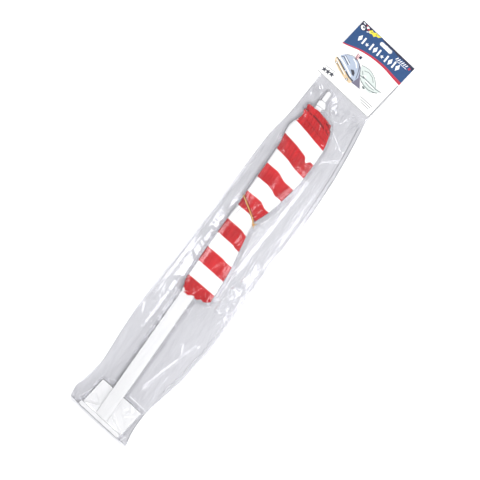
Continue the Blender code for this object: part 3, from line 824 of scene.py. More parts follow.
def tops_of(things):
    """How high the pieces reach under every point of the film, by looking straight down on them."""
    lift = np.zeros(film_x.shape)
    graph = bpy.context.evaluated_depsgraph_get()
    trees = [BVHTree.FromObject(thing, graph) for thing in things]
    down = Vector((0, 0, -1))
    for spot in np.ndindex(film_x.shape):
        above = Vector((film_x[spot], film_y[spot], 0.1))
        hits = [tree.ray_cast(above, down)[0] for tree in trees]
        lift[spot] = max([hit.z for hit in hits if hit] + [0.0])
    return lift


inside = [staff, collar, flag, knot, tail_up, tail_down, strands[0]]
inside += [nodes[name] for name in PLAIN_MOULDED if name != "hook_bridge"]
tops = tops_of(inside)
spread = tops.copy()
for shift in (-1, 1):
    for axis in (0, 1):
        spread = np.maximum(spread, np.roll(tops, shift, axis=axis))
floor_z = 0.45 * MM
FILM_CLEARANCE = 0.5 * MM
obstacle = np.where(spread > 0, spread + FILM_CLEARANCE, floor_z)
print("share of the film that lies on something:", round(float((tops > 0).mean()), 2))

# %% Settling the film
# The film's own weight, as the curvature that it gives a free stretch of the skin.
WEIGHT = 1000.0
fold_z = 0.9 * MM  # the height of the bag's two films where they go in between the card's panels
step_x = float(np.mean(edge_right[:, 0] - edge_left[:, 0])) / (FILM_COLUMNS - 1)
step_y = float(film_rows[1] - film_rows[0])
pull_x = step_x**-2
pull_y = step_y**-2


def settle(rounds):
    """A limp skin over the obstacle, sagging to the table around it and held down along its edges."""
    skin = obstacle.copy()
    total = 2 * (pull_x + pull_y)
    for _ in range(rounds):
        sides = (skin[1:-1, :-2] + skin[1:-1, 2:]) * pull_x + (skin[:-2, 1:-1] + skin[2:, 1:-1]) * pull_y
        skin[1:-1, 1:-1] = np.maximum((sides - WEIGHT) / total, obstacle[1:-1, 1:-1])
        skin[:, 0] = skin[:, -1] = floor_z
        skin[0, :] = floor_z
        skin[-1, :] = fold_z + 0.0002
    return skin


skin = settle(1500)
print("film, highest point in mm:", round(skin.max() / MM, 1))

# %% [markdown]
# ## Folds, flaps and crumples
# Film that has been handled never lies smooth, and its look comes almost wholly from what it mirrors.
# Three kinds of unevenness are laid on the settled skin. Folds are low tents with a ridge. Flaps are flat
# planes that stand off beside the flag and the staff. A flap shines only if it leans just enough to show a
# strip light to the lens, so its slope is worked out from where the lens and the lights are. Crumples are
# patches of hard little facets. The folds, crumples and noise fade out at the bag's edges, where the film
# is held flat.

# %% Folds
# Where the ridge starts and ends, how high it is, and how far its foot lies from the ridge on the left and
# on the right, in millimetres.
FOLDS = (
    (63, 310, 61, 270, 0.8, 4, 4), (49, 150, 46, 96, 0.7, 4, 4), (55, 205, 57, 160, 0.6, 4, 3),
    (-30, 190, -27, 132, 0.8, 5, 4), (-25, 150, -23, 70, 0.7, 4, 4), (-34, 120, -30, 60, 0.6, 4, 3),
    (-33, 430, -32, 330, 0.5, 3, 3), (-30, 270, -33, 165, 0.6, 4, 3), (-26, 512, -14, 488, 0.8, 3, 3),
    (-20, 514, -5, 500, 0.8, 3, 3), (16, 507, 8, 492, 0.8, 3, 3), (44, 508, 30, 482, 0.5, 3, 3.4),
    (-42, 52, -36, 18, 0.6, 3, 3), (42, 100, 38, 60, 0.8, 3.4, 3), (-36, 62, -34, 30, 0.7, 3, 3),
    (-6, 430, -5.5, 411, 0.7, 2.2, 2.6), (20, 428, 21.5, 402, 0.8, 2.6, 3), (15, 262, 9, 238, 0.6, 3, 4),
    (9, 214, 2, 198, 0.7, 3, 3), (26, 471, 32, 446, 0.6, 2.4, 3), (35.6, 458, 35, 440, 2.6, 1, 1),
)
print("folds:", len(FOLDS))

# %% Flaps and crumples
# The ridge from and to and the width of the plane in millimetres, the side that it falls to, and how
# ragged it is.
FLAPS = (
    (-15.8, 314, -16.2, 282, 12.5, -1, 1.0), (-15.8, 292, -15.8, 252, 8.5, -1, 1.0),
    (-15.8, 264, -16.2, 234, 10.5, -1, 1.2), (-15.6, 242, -16.4, 206, 13.5, -1, 1.4),
    (-20, 214, -21, 160, 4.6, -1, 0.9), (-20, 178, -22, 124, 4.5, -1, 0.4),
    (-18, 408, -18.5, 318, 3.4, -1, 0.3), (50, 277, 48, 245, 9.5, 1, 1.2),
    (44, 238, 40, 199, 11.0, 1, 1.4), (41.5, 410, 37.0, 330, 4.2, 1, 0.15),
    (37.2, 338, 31.5, 244, 4.4, 1, 0.15), (57, 420, 59, 310, 2.2, 1, 0.3),
    (29, 469.5, 61.5, 447.5, 3.0, 1, 0.0), (61.5, 447.5, 37, 428.0, 3.0, 1, 0.0),
    (55.5, 512, 56.5, 450, 3.6, 1, 0.2), (-42, 158, -35, 142, 2.4, 1, 0.1),
    (48, 150, 20, 62, 3.4, 1, 0.2), (4, 506, 22, 479, 8.0, 1, 0.7),
    (-21, 470, -17, 446, 3.0, -1, 0.5), (12, 47, 38, 41, 4.0, 1, 0.7),
    (30, 140, 40, 120, 3.0, -1, 0.5),
)
# The middle of the patch, its reach each way, and the height of its crumples, in millimetres.
CRUMPLES = (
    (26, 28, 12, 17, 0.70), (-20, 24, 9, 12, 0.20), (20, 492, 14, 10, 0.55),
    (-20, 500, 8, 10, 0.45), (50, 226, 8, 26, 0.40), (-24, 232, 7, 16, 0.60),
    (50, 492, 8, 12, 0.30), (36, 2, 6, 8, 0.50), (-46, 12, 6, 10, 0.35),
)
print("flaps and crumples:", len(FLAPS) + len(CRUMPLES))

# %% How steep a flap is
PLAIN_SLOPE = 0.25  # where no strip can be mirrored


def mirror_slope(x, y, way):
    """How steep a plane that falls along a way has to be to show a strip light to the lens."""
    place = Vector((x * MM, y * MM, 0.003))
    to_lens = (camera.location - place).normalized()
    best = None
    for _, lamp_place, _, _ in STRIPS:
        half = to_lens + (Vector(lamp_place) - place).normalized()
        need = Vector((-half.x / half.z, -half.y / half.z))
        slope = -need.dot(way)
        miss = (need + way * slope).length
        if slope > 0.05 and (best is None or miss < best[0]):
            best = (miss, slope)
    return best[1] if best else PLAIN_SLOPE


def ridge_frame(x, y, x0, y0, x1, y1):
    """How far along a ridge each point lies, from 0 to 1, and how far to its right, looking up it."""
    length = math.hypot(x1 - x0, y1 - y0)
    run = ((x - x0) * (x1 - x0) + (y - y0) * (y1 - y0)) / length**2
    right = ((x - x0) * (y1 - y0) - (y - y0) * (x1 - x0)) / length
    if y1 < y0:
        right = -right
    return run, right


def fold_height(x, y, fold):
    """The tent of one fold, which fades at both ends."""
    crest, left_foot, right_foot = fold[4:]
    run, right = ridge_frame(x, y, *fold[:4])
    fade = np.clip(np.sin(np.clip(run, 0, 1) * math.pi), 0, 1) ** 0.45
    reach = np.where(right > 0, right / right_foot, -right / left_foot)
    tent = np.clip(1 - np.sqrt(reach**2 + 0.01), 0, None)
    return crest * fade * tent


print("slope that shines at the bag's middle:", round(mirror_slope(20, 300, Vector((1, 0))), 2))


def noise_field(x, y, scale_x, scale_y, seed, hard=False):
    """Smooth or hard-creased noise over the film."""
    field = np.empty(x.shape)
    for spot in np.ndindex(x.shape):
        value = noise.noise(Vector((x[spot] * scale_x, y[spot] * scale_y, seed)))
        field[spot] = 1 - 2 * abs(value) if hard else value
    return field


# %% Noise over the film
mm_x, mm_y = film_x / MM, film_y / MM
facets = noise_field(film_x, film_y, 150, 95, 7.7, hard=True)
fine = noise_field(film_x, film_y, 330, 240, 1.7, hard=True)
streaks = noise_field(film_x, film_y, 110, 9, 3.1)
uneven = noise_field(film_x, film_y, 90, 130, 6.1)
waves = noise_field(film_x, film_y, 42, 16, 5.3)
print("facets, mean:", round(float(facets.mean()), 2))

# %% Laying the folds, flaps and crumples on the film
lift = sum(fold_height(mm_x, mm_y, fold) for fold in FOLDS) * MM
looseness = np.where(spread > floor_z, 0.25, 1.0)
lift += (0.00016 * (streaks + 0.4) + 0.00028 * (waves + 0.3)) * looseness
leaning = np.zeros(film_x.shape)
for flap in FLAPS:
    x0, y0, x1, y1, width, side_to, ragged = flap
    run, right = ridge_frame(mm_x, mm_y, x0, y0, x1, y1)
    down_way = Vector((y1 - y0, x0 - x1)).normalized() * (side_to if y1 > y0 else -side_to)
    slope = mirror_slope((x0 + x1) / 2, (y0 + y1) / 2, down_way)
    away = right * side_to + ragged * (0.9 * facets + 0.5 * fine)
    run = run + 0.10 * ragged * uneven
    fade = np.clip(np.minimum(run, 1 - run) * 9 + 0.6 * ragged * facets, 0, 1)
    plane = np.where(away > 0, slope * (width - away), slope * width * (1 + away / 1.8))
    leaning = np.maximum(leaning, np.clip(plane, 0, None) * np.where((run > 0) & (run < 1), fade, 0))
crumple = np.zeros(film_x.shape)
for x0, y0, reach_x, reach_y, height in CRUMPLES:
    patch = np.exp(-(((mm_x - x0) / reach_x) ** 2) - ((mm_y - y0) / reach_y) ** 2)
    crumple += patch
    lift += height * MM * (facets + 0.4 * fine) * patch
skin = np.maximum(skin, floor_z + leaning * MM)
lift += 0.00006 * facets
print("highest flap, mm:", round(float(leaning.max()), 1))

# %% Holding it flat at the edges
from_side = np.minimum(across_film, 1 - across_film) * (edge_right[:, :1] - edge_left[:, :1])
from_end = np.minimum(film_rows - film_rows[0], film_rows[-1] - film_rows)[:, None]
hold = np.clip(from_side / 0.006, 0, 1) * np.clip(from_end / 0.008, 0, 1)
front_z = np.maximum(skin + lift * hold, obstacle - 0.0001)
front_z[:, 0] = front_z[:, -1] = floor_z
print("film with its folds, highest point in mm:", round(front_z.max() / MM, 1))

# %% The flat mouth between the card's panels
MOUTH_REACH = 0.060
MOUTH_ROWS = 24
up_card = np.array([math.sin(CARD_TURN), math.cos(CARD_TURN)])


def carry_on(edge, reach, count):
    """Edge points that go straight on up the card."""
    return edge[-1] + np.outer(np.linspace(0, reach, count + 1)[1:], up_card)


mouth_left = carry_on(edge_left, MOUTH_REACH, MOUTH_ROWS)
mouth_right = carry_on(edge_right, MOUTH_REACH, MOUTH_ROWS)
mouth_x = mouth_left[:, :1] + (mouth_right[:, :1] - mouth_left[:, :1]) * across_film
mouth_y = mouth_left[:, 1:] + (mouth_right[:, 1:] - mouth_left[:, 1:]) * across_film
all_x = np.vstack([film_x, mouth_x])
all_y = np.vstack([film_y, mouth_y])
print("rows with the mouth:", all_x.shape[0])

# %% Where the film is crumpled, and where it clings
# The paint reads these two. Film that clings to the flag mirrors less than film in the air.
CLINGS_ABOVE = 0.004
FLAG_STARTS = 0.195
clinging = (tops > CLINGS_ABOVE) & (film_y > FLAG_STARTS)
all_crumple = np.vstack([np.clip(crumple, 0, 1), np.zeros(mouth_x.shape)])
all_contact = np.vstack([clinging, np.zeros(mouth_x.shape)]).astype(float)
print("share of the film that clings:", round(float(clinging.mean()), 2))

# %% Two walls of film
FILM_WALL = 0.08 * MM
back_wave = np.clip(noise_field(film_x, film_y, 60, 30, 9.3) + 0.3, 0, 1) * hold
back_z = FILM_WALL + 0.00020 * back_wave
back_z[-12:, :] += np.linspace(0, 1, 12)[:, None] ** 2 * (fold_z - 0.0003)
flat = np.ones(mouth_x.shape)
all_front = np.vstack([front_z, flat * (fold_z + 0.00014)])
all_back = np.vstack([back_z, flat * (fold_z - 0.00014)])


def film_sheet(name, height, keep_rows, keep_columns, offset):
    """A wall of film from the grid of heights, thinned to the rows and columns that it needs."""
    take = np.ix_(keep_rows, keep_columns)
    x, y, z = all_x[take], all_y[take], height[take]
    points = np.stack([x, y, z], axis=-1).reshape(-1, 3)
    made = mesh_object(name, points, grid_faces(*x.shape), points[:, :2])
    for attribute, amount in (("crumple", all_crumple), ("contact", all_contact)):
        layer = made.data.attributes.new(attribute, "FLOAT", "POINT")
        layer.data.foreach_set("value", amount[take].ravel().astype(np.float32))
    wall = made.modifiers.new("wall", "SOLIDIFY")
    wall.thickness = FILM_WALL
    wall.offset = offset
    apply_all(made)
    bpy.ops.object.shade_smooth()
    print(name, "faces:", len(made.data.polygons))
    return made


every_row = np.arange(all_x.shape[0])
every_column = np.arange(FILM_COLUMNS)
bag_front = film_sheet("bag_front", all_front, every_row, every_column, -1.0)
bag_back = film_sheet("bag_back", all_back, every_row[::3], every_column[::3], 1.0)

# %% [markdown]
# ## Clear film
# Film this thin is almost all transparent, with a faint mirror on top: a few hundredths of the light
# bounce straight on, and much more at a slant. Glass shaders would bend the light and need many bounces,
# so the material is a mix of a see-through shader and a bright glossy one, and the share of gloss grows
# towards grazing angles. Stretch marks tilt the mirror a little, and fine creases add gloss in lines, most
# of all where the film is crumpled.

# %% Film paint


def film_paint(name, share, haze):
    """See-through film: a share of it is a mirror, more of it at a slant, with a little haze."""
    made = Paint(name, Metallic=1.0, Roughness=0.12)
    made.feed(made.shader.inputs["Base Color"], (0.93, 0.93, 0.97, 1))
    where = made.place()
    stretch = made.noise(made.mapped(where, scale=(420, 60, 420)), 1.0, 3.0)
    cells = {"Vector": where, "Scale": 160.0}
    crackle = made.node("ShaderNodeTexVoronoi", {"feature": "DISTANCE_TO_EDGE"}, cells)
    made.bump(stretch * 0.8 + crackle * 0.5, 0.22, 0.0006)
    made.feed(made.shader.inputs["Roughness"], 0.08 + stretch * 0.10)
    facing = made.node("ShaderNodeLayerWeight", None, {"Blend": 0.35}, output="Facing")
    long_lines = made.noise(made.mapped(where, scale=(150, 17, 150)), 1.0, 3.0)
    long_lines = 1 - abs(long_lines - 0.5).step(0.030, 0.026)
    short_lines = made.noise(made.mapped(where, scale=(170, 120, 170)), 1.0, 2.0)
    short_lines = 1 - abs(short_lines - 0.5).step(0.034, 0.030)
    crumpled = made.node("ShaderNodeAttribute", {"attribute_name": "crumple"}, output="Fac")
    creases = long_lines * 0.020 + short_lines * (0.006 + crumpled * 0.07)
    contact = made.node("ShaderNodeAttribute", {"attribute_name": "contact"}, output="Fac")
    gloss = (share + facing * 0.25 + (stretch - 0.5) * haze + creases) * (1 - contact * 0.55)
    clear = made.tree.nodes.new("ShaderNodeBsdfTransparent")
    clear.inputs["Color"].default_value = (0.985, 0.985, 0.991, 1)
    blend = made.tree.nodes.new("ShaderNodeMixShader")
    made.feed(blend.inputs[0], gloss)
    made.tree.links.new(clear.outputs[0], blend.inputs[1])
    made.tree.links.new(made.shader.outputs[0], blend.inputs[2])
    made.tree.links.new(blend.outputs[0], made.end.inputs["Surface"])
    return made


film = film_paint("clear_film", 0.028, 0.03)
print("nodes in the film's paint:", len(film.tree.nodes))

# %% The film's paint, and the line that the card bends about
# The made film takes the clear paint in place of the solid model's films and mouth, and the line that the
# card bends about is read from the joints.
fold_at = Vector(next(joint for joint in frame["joints"] if joint["name"] == "card_fold")["pos_m"])
for piece, replaced in ((bag_front, ("bag_front_film", "bag_mouth")), (bag_back, ("bag_back_film",))):
    film.wear(piece)
    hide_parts(*replaced)
    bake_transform(piece)

# %% [markdown]
# ## Weld and side folds
# Along the bag's sides and foot the film is doubled or melted, and it shows as fine bright and dark lines.
# On a skin without real creases such a line is missing, so a thin bead of film is laid along each: two by
# each side, one where the bag is welded under the clip, and one at its very foot.

# %% Beads of melted film
bead_paint = film_paint("bead_film", 0.36, 0.12)


def film_strand(name, line, height, radius):
    """A strand of film along a line on the flat bag."""
    made = strand(name, np.column_stack([line, np.full(len(line), height)]), radius, False)
    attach(made, "root")
    bead_paint.wear(made)
    return made


def beside(edge, inwards, rows):
    """A line that follows one side of the bag, a little way in from it."""
    middle = (edge_left + edge_right) / 2
    towards = middle - edge
    towards = towards / np.linalg.norm(towards, axis=1)[:, None]
    return (edge + towards * inwards)[rows]


def across_bag(row, margin):
    """A line across the bag on one row, which stops short of both sides."""
    return np.column_stack([film_x[row, margin:-margin], film_y[row, margin:-margin]])


side_rows = np.arange(2, FILM_ROWS - 9, 2)
SIDE_BEADS = (
    ("bead_right_edge", edge_right, 0.0003, 0.00050, side_rows),
    ("bead_right_fold", edge_right, 0.0052, 0.00034, side_rows[30:]),
    ("bead_left_edge", edge_left, 0.0003, 0.00024, side_rows),
    ("bead_left_fold", edge_left, 0.0046, 0.00016, side_rows[60:150]),
)
for name, edge, inwards, radius, rows in SIDE_BEADS:
    film_strand(name, beside(edge, inwards, rows), floor_z + 0.00012, radius)
weld_row = int(np.argmin(np.abs(film_rows + 0.0012)))
film_strand("bead_weld", across_bag(weld_row, 12), floor_z + 0.0003, 0.0003)
film_strand("bead_foot", across_bag(1, 2), floor_z, 0.00035)
print("beads:", len(SIDE_BEADS) + 2)

# %% The weld across the bottom
seal_paint = film_paint("welded_film", 0.07, 0.03)
seal_paint.wear(nodes["bag_bottom_seal"])
print("nodes in the weld's paint:", len(seal_paint.tree.nodes))

# %% [markdown]
# ## The header card
# One strip of coated card is folded over the bag's mouth. Its front is printed: a blue head with an arched
# lower edge and a red line under it, a yellow flash in the corner, a row of plain white motifs, and a
# picture. Print could be painted by the card's material, but a shape with a crisp edge is easier to draw
# than to write as a sum. So each ink is a set of flat outlines, filled as a curve is, made a mesh, and
# laid a hair above the card or above the ink under it.
# Painted shade is drawn the same way: a dark strip where the card bends over at its top, and grey lines
# along its right and bottom edges.

# %% Card paint


def stock(name, low, high, roughness):
    """Coated card or ink: a colour that varies a little, with fine fibres under a smooth coat."""
    made = Paint(name, Roughness=roughness)
    where = made.place()
    fibre = made.noise(where, 1400.0, 3.0)
    cloud = made.noise(where, 60.0, 3.0)
    colour = made.mix(cloud * 0.6 + fibre * 0.4, rgb(*low), rgb(*high))
    made.feed(made.shader.inputs["Base Color"], colour)
    made.feed(made.shader.inputs["Roughness"], roughness + fibre * 0.12)
    made.feed(made.shader.inputs["Coat Weight"], 0.18 + cloud * 0.12)
    made.bump(fibre, 0.15, 0.00008)
    return made


card_white = stock("coated_card", (240, 240, 238), (250, 250, 249), 0.36)
for name in ("card_front_panel", "card_back_panel", "card_top_fold"):
    card_white.wear(nodes[name])
print("nodes in the card's paint:", len(card_white.tree.nodes))

# %% Drawing on the card
# Each shape is an outline in millimetres from the card's top left corner: to the right, and down.
CARD_WIDTH = 89.0
CARD_TOP = 89.0  # from the line that the film bends about to the card's top edge
INK_STEP = 0.012 * MM
card_face_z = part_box("card_front_panel")[1].z
card_start = Vector((fold_at.x, fold_at.y, 0))


def to_card(across_mm, down_mm):
    """A place on the card's face, in the frame of the whole pack."""
    x = (across_mm - CARD_WIDTH / 2) * MM
    y = (CARD_TOP - down_mm) * MM
    turned = Matrix.Rotation(-CARD_TURN, 3, "Z") @ Vector((x, y, 0))
    return card_start + turned


def print_ink(name, paint, layer, outlines):
    """One ink on the card: flat shapes with a hair of thickness, as a mesh."""
    curve = bpy.data.curves.new(name, "CURVE")
    curve.dimensions = "2D"
    curve.fill_mode = "BOTH"
    curve.extrude = INK_STEP / 2
    for outline in outlines:
        line = curve.splines.new("POLY")
        line.points.add(len(outline) - 1)
        for point, (across_mm, down_mm) in zip(line.points, outline):
            point.co = (*to_card(across_mm, down_mm)[:2], 0, 1)
        line.use_cyclic_u = True
    made = bpy.data.objects.new(name, curve)
    bpy.context.scene.collection.objects.link(made)
    only(made)
    bpy.ops.object.convert(target="MESH")
    made.location.z = card_face_z + INK_STEP * (layer + 0.5)
    apply_all(made)
    outward(made)
    paint.wear(made)
    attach(made, "header_card")
    return made


print("card's top left corner, mm:", [round(v / MM, 1) for v in to_card(0, 0)])


# %% Shapes to print


def star(x, y, radius):
    """A five-pointed star."""
    corners = []
    for number in range(10):
        reach = radius if number % 2 == 0 else radius * 0.42
        turn = math.pi * number / 5
        corners.append((x + reach * math.sin(turn), y - reach * math.cos(turn)))
    return corners


def turned_about(x, y, corners, turn):
    """Corners given from a middle, turned about it and set at its place."""
    cos, sin = math.cos(turn), math.sin(turn)
    return [(x + a * cos - b * sin, y + a * sin + b * cos) for a, b in corners]


def disc(x, y, half_x, half_y, turn=0.0):
    """An ellipse, turned."""
    angles = [2 * math.pi * number / 28 for number in range(28)]
    corners = [(half_x * math.cos(angle), half_y * math.sin(angle)) for angle in angles]
    return turned_about(x, y, corners, turn)


def bar(x, y, width, height, turn=0.0):
    """A rectangle about its middle, turned."""
    a, b = width / 2, height / 2
    return turned_about(x, y, [(-a, -b), (a, -b), (a, b), (-a, b)], turn)


def diamond(x, y, half_x, half_y):
    """A tall four-cornered mark."""
    return [(x, y - half_y), (x + half_x, y), (x, y + half_y), (x - half_x, y)]


def stroke(points, width):
    """A line drawn with a pen of a given width, as an outline."""
    line = [Vector(point) for point in points]
    left, right = [], []
    for number, point in enumerate(line):
        before = line[max(number - 1, 0)]
        after = line[min(number + 1, len(line) - 1)]
        side = (after - before).normalized().orthogonal() * width / 2
        left.append(tuple(point + side))
        right.append(tuple(point - side))
    return left + right[::-1]


# %% The blue head
ARCH = (
    (0, 38), (4.5, 36.5), (9.4, 34.6), (19.5, 30.4), (26, 28.4), (32.8, 26.7), (39, 25.5),
    (45.7, 24.6), (52, 24.0), (59.6, 23.7), (67, 24.0), (74.4, 24.6), (82, 25.0), (89, 25.4),
)
HOLE_AT = (44.5, 6.0)


def hole_outline(margin):
    """The hang hole, a slot with a raised middle, with a margin round it."""
    half, side, bump, centre = 9.5 + margin, 2.3 + margin, 3.0 + margin, -0.3
    corners = []
    for start, x in ((0, half - side), (math.pi, -half + side)):
        for number in range(13):
            turn = start - math.pi / 2 + math.pi * number / 12
            corners.append((x + side * math.cos(turn), side * math.sin(turn)))
        if start == 0:
            reach = math.acos((side - centre) / bump)
            for number in range(9):
                turn = math.pi / 2 - reach + 2 * reach * number / 8
                corners.append((bump * math.cos(turn), centre + bump * math.sin(turn)))
    return [(HOLE_AT[0] + x, HOLE_AT[1] - y) for x, y in corners]


def arch_band(width_left, width_right):
    """The line under the arch, which gets wider to the right."""
    low = [(x, y + width_left + (width_right - width_left) * x / CARD_WIDTH) for x, y in ARCH]
    return list(ARCH) + low[::-1]


IN = 0.15  # from the card's cut edge to the ink
FAR = CARD_WIDTH - IN
head = [(IN, IN), (FAR, IN), *[(min(max(x, IN), FAR), y) for x, y in reversed(ARCH)]]
print("corners in the head's outline:", len(head), "and in the hole's:", len(hole_outline(0)))

# %% Inks
blue_ink = stock("blue_ink", (10, 56, 106), (24, 74, 126), 0.34)
red_ink = stock("red_ink", (172, 22, 50), (190, 42, 70), 0.34)
navy_ink_and_fold_shade = stock("navy_ink_and_fold_shade", (14, 18, 44), (30, 36, 70), 0.34)
white_ink = stock("white_ink", (236, 238, 242), (252, 252, 252), 0.36)
yellow_ink = stock("yellow_ink", (216, 204, 40), (238, 226, 62), 0.36)
print_ink("print_head", blue_ink, 0, [head, hole_outline(0.25)])
print_ink("print_arch", red_ink, 1, [arch_band(1.6, 4.0)])
print("ink on the card at height, mm:", round((card_face_z + INK_STEP) / MM, 3))

# %% Marks on the head, and painted shade along its top fold
# Painted shade: a dark strip along the card's top edge, right of the corner mark, where the card bends
# over.
fold_shade_strip = [(31, IN), (FAR, IN), (FAR, 6.4), (86, 4.0), (82, 3.0), (78, 3.6), (70, 2.6)]
fold_shade_strip += [(62, 3.2), (54.5, 2.4), (46, 2.9), (38, 2.2)]
corner_dark = [(IN, IN), (17, IN), (15.4, 3.2), (13.0, 6.2), (9.0, 9.6), (5.2, 11.4), (2.2, 9.2), (IN, 7.5)]
flash = [(13.5, 4.4), (16.5, 1.6), (20.0, 2.6), (22.4, 0.6), (26.5, 1.0), (31.5, 0.4)]
flash += [(28.6, 3.6), (25.4, 4.0), (23.4, 6.8), (19.4, 5.6), (16.8, 7.2)]
print_ink("print_corner_and_fold_shade", navy_ink_and_fold_shade, 1, [fold_shade_strip, corner_dark])
print_ink("print_flash", yellow_ink, 1, [flash])
badge = [disc(5.6, 7.4, 3.4, 2.6, 0.35), disc(10.6, 3.2, 2.0, 1.5)]
badge += [bar(3.6, 2.0, 3.6, 1.2, 0.2), bar(14.2, 6.8, 4.4, 1.0, -0.7)]
print_ink("print_badge", white_ink, 2, badge)
badge_dark = [disc(6.2, 6.6, 1.7, 1.0, 0.35), bar(18.4, 3.9, 3.4, 0.5, -0.3), bar(24.6, 2.6, 3.0, 0.5, 0.2)]
print_ink("print_badge_dark", navy_ink_and_fold_shade, 3, badge_dark)
print_ink("print_badge_red", red_ink, 4, [disc(12.6, 4.4, 1.5, 1.3), disc(8.2, 2.0, 1.1, 0.7)])
print("shapes in the badge:", len(badge) + len(badge_dark) + 2)

# %% A row of plain motifs where a title would be
title = []
for number in range(11):
    across_mm = 12.2 + number * 6.0
    share = number / 10
    down_mm = 19.2 - 4.8 * share
    if number in (2, 6):
        title.append(star(across_mm, down_mm + 1.5, 2.8))
    elif number % 2:
        title.append(bar(across_mm, down_mm, 2.3, 9.2, -0.08))
    else:
        title.append(diamond(across_mm, down_mm, 2.7, 4.9))
mark = []
for number in range(6):
    mark.append(bar(64 + 3.1 * number, 6.2 - 0.25 * number, 1.1, 4.2 - 0.3 * (number % 3), 0.45))
mark.append(bar(73, 8.6, 17, 0.6, -0.04))
print_ink("print_title", white_ink, 1, title + mark)
print_ink("print_mark_red", red_ink, 2, [bar(84.2, 5.4, 2.8, 3.2, 0.3)])
print("motifs:", len(title) + len(mark))

# %% [markdown]
# ## The picture
# Under the arch is a plain car with a little striped flag on its side window, and a second car as a pale
# line drawing beside it. Both are drawn as a sign painter works: the big colour first, then the dark parts
# on it, and the shine last.

# %% Inks for the picture
silver = stock("silver_ink", (150, 162, 184), (188, 198, 214), 0.36)
dark = stock("dark_ink", (36, 38, 48), (66, 68, 80), 0.36)
gold = stock("gold_ink", (196, 168, 128), (226, 204, 170), 0.36)
violet = stock("violet_ink", (92, 88, 108), (124, 120, 140), 0.36)
pale = stock("pale_ink", (192, 202, 198), (218, 225, 222), 0.36)
grey = stock("grey_ink", (84, 96, 96), (118, 128, 128), 0.36)
print("paints so far:", len(bpy.data.materials))

# %% The car
shadow = [(32.9, 42.7), (38.6, 46.4), (44.7, 54.1), (50.8, 60.8), (56.3, 67.0)]
shadow += [(49.8, 67.5), (41.8, 68.2), (36, 62), (38, 52)]
body = [(9, 52), (13, 46.5), (20, 43), (28, 41.5), (35, 44.5), (41, 51)]
body += [(45, 58), (43.5, 66), (36, 66), (24, 61.5), (12, 57)]
skirt = [(5.5, 57), (9, 57.5), (22, 62), (36, 66), (43, 67), (41, 71), (33, 70.5), (20, 67.5), (8.5, 63)]
print_ink("print_shadow", violet, 0, [shadow])
print_ink("print_body", silver, 1, [body])
print_ink("print_skirt", gold, 1, [skirt])
windows = [
    stroke([(7.5, 56.8), (14, 58.4), (20, 60.6), (26, 62.6)], 1.5),
    stroke([(27.5, 62.6), (36, 65.2), (43, 65.4)], 1.8),
    stroke([(11.0, 52.6), (13.6, 50.6), (19.5, 52.9), (24.5, 54.6)], 1.1),
    stroke([(13.0, 47.6), (19.0, 49.8), (25.0, 51.6)], 0.6),
    [(30.5, 56.6), (34.0, 54.4), (37.6, 56.4), (39.4, 60.6), (36.4, 60.4)],
    stroke([(24, 42.4), (31, 42.8), (36.4, 46.4), (41, 54.4), (43.4, 60.6)], 0.8),
    stroke([(10.0, 61.4), (18.0, 64.2), (28.0, 67.6)], 0.7),
    stroke([(14.0, 46.2), (19.0, 42.8), (24, 41.6)], 0.6),
    disc(11.6, 62.4, 1.6, 1.4),
    disc(35.4, 69.2, 1.8, 1.5),
]
print_ink("print_windows", dark, 2, windows)
shine = [
    stroke([(10, 54.6), (17, 56), (27, 59.2), (37, 63)], 1.9),
    stroke([(9.0, 59.4), (19.0, 63.0), (30.0, 66.4)], 0.9),
    stroke([(14.5, 49.2), (20, 51.2), (26, 53.4)], 0.8),
    stroke([(24, 44.2), (30, 46), (35, 50.4)], 1.2),
    disc(11.6, 62.4, 0.9, 0.8),
    disc(35.4, 69.2, 0.9, 0.8),
]
print_ink("print_shine", white_ink, 3, shine)
print("shapes in the car:", 3 + len(windows) + len(shine))

# %% Its flag
banner = [bar(25.6 + 0.3 * row, 36.2 + row * 1.7, 5.0, 0.85, 0.12) for row in range(4)]
print_ink("print_banner", red_ink, 1, banner)
banner_dark = [bar(29.6, 37.2, 3.2, 4.0, 0.12), stroke([(24.0, 35.2), (26.6, 43.6)], 0.6)]
print_ink("print_banner_dark", navy_ink_and_fold_shade, 2, banner_dark)
print("stripes:", len(banner))

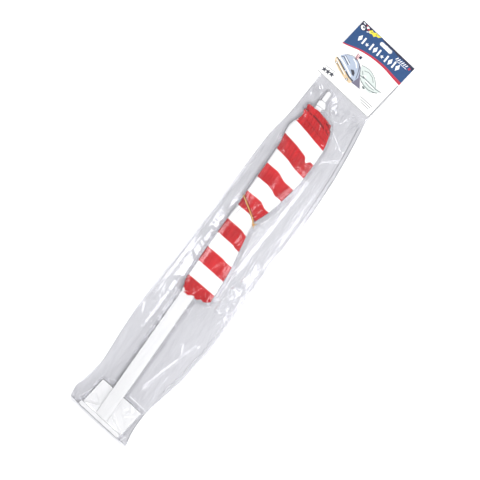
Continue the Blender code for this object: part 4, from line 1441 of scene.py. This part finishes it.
# %% The pale car
roof = [(37.1, 43.1), (41.9, 41.4), (47.8, 40.5), (53.9, 41.1), (60.4, 43.7), (66.1, 47.9), (69.6, 51.4)]
ghost = roof + [(77.8, 51.7), (76.3, 55.5), (72.7, 58.5), (69.2, 62.6), (63.2, 62.5)]
ghost += [(56.9, 61.4), (50.4, 58.3), (44.7, 54.1), (39.9, 48.7)]
print_ink("print_ghost", pale, 0, [ghost])
ghost_lines = [
    stroke(roof, 0.7),
    stroke([(44.7, 54.1), (50.6, 52.7), (57.7, 52.7), (65.8, 53.0), (71.9, 53.1), (78.7, 51.6)], 1.0),
    stroke([(50.4, 58.3), (56.7, 59.9), (64.9, 60.2), (72.5, 57.5)], 0.9),
    stroke([(44.6, 46.0), (50.3, 43.6), (57.6, 45.1), (63.2, 49.3)], 0.7),
    stroke([(43.0, 47.5), (46.5, 51.0)], 0.8),
]
print_ink("print_ghost_lines", grey, 1, ghost_lines)
ghost_more = [
    disc(49.5, 52.8, 1.7, 1.3),
    disc(58.2, 62.4, 2.4, 1.4, 0.2),
    stroke([(70.5, 59.0), (75.5, 55.6)], 1.1),
    stroke([(55, 55.8), (63, 56.6), (70, 55.8)], 0.7),
    stroke([(47.0, 56.0), (52.0, 59.6)], 0.8),
]
print_ink("print_ghost_more", grey, 2, ghost_more)
ghost_light = [disc(50.0, 50.4, 1.6, 1.3), stroke([(54, 54.3), (62, 54.6), (69, 54.5)], 0.8)]
print_ink("print_ghost_light", white_ink, 3, ghost_light)
print("lines in the pale car:", len(ghost_lines) + len(ghost_more))

# %% Stars, painted shade along the card's edges, and plain bars
block = [star(6.4 + 5.6 * number, 79.4 - 0.8 * number, 4.1) for number in range(3)]
block.append(stroke([(3.0, 74.6), (19.5, 72.4)], 0.5))
print_ink("print_block", dark, 0, block)
notes = [bar(73.0 + row, 72.6 + 2.6 * row, 20 - 3 * row, 0.9, -0.02) for row in range(3)]
notes_and_edge_shade_ink = stock("grey_ink_and_edge_shade", (104, 104, 108), (138, 138, 142), 0.36)
# Painted shade: grey lines along the card's right and bottom edges, where the folded card's edge casts its
# shadow.
edge_shade_lines = [bar(CARD_WIDTH - 0.65, 58, 1.1, 55), bar(CARD_WIDTH / 2, 85.5, CARD_WIDTH - 0.6, 0.6)]
print_ink("print_edge_shade", notes_and_edge_shade_ink, 0, edge_shade_lines)
print_ink("print_notes", notes_and_edge_shade_ink, 0, notes)
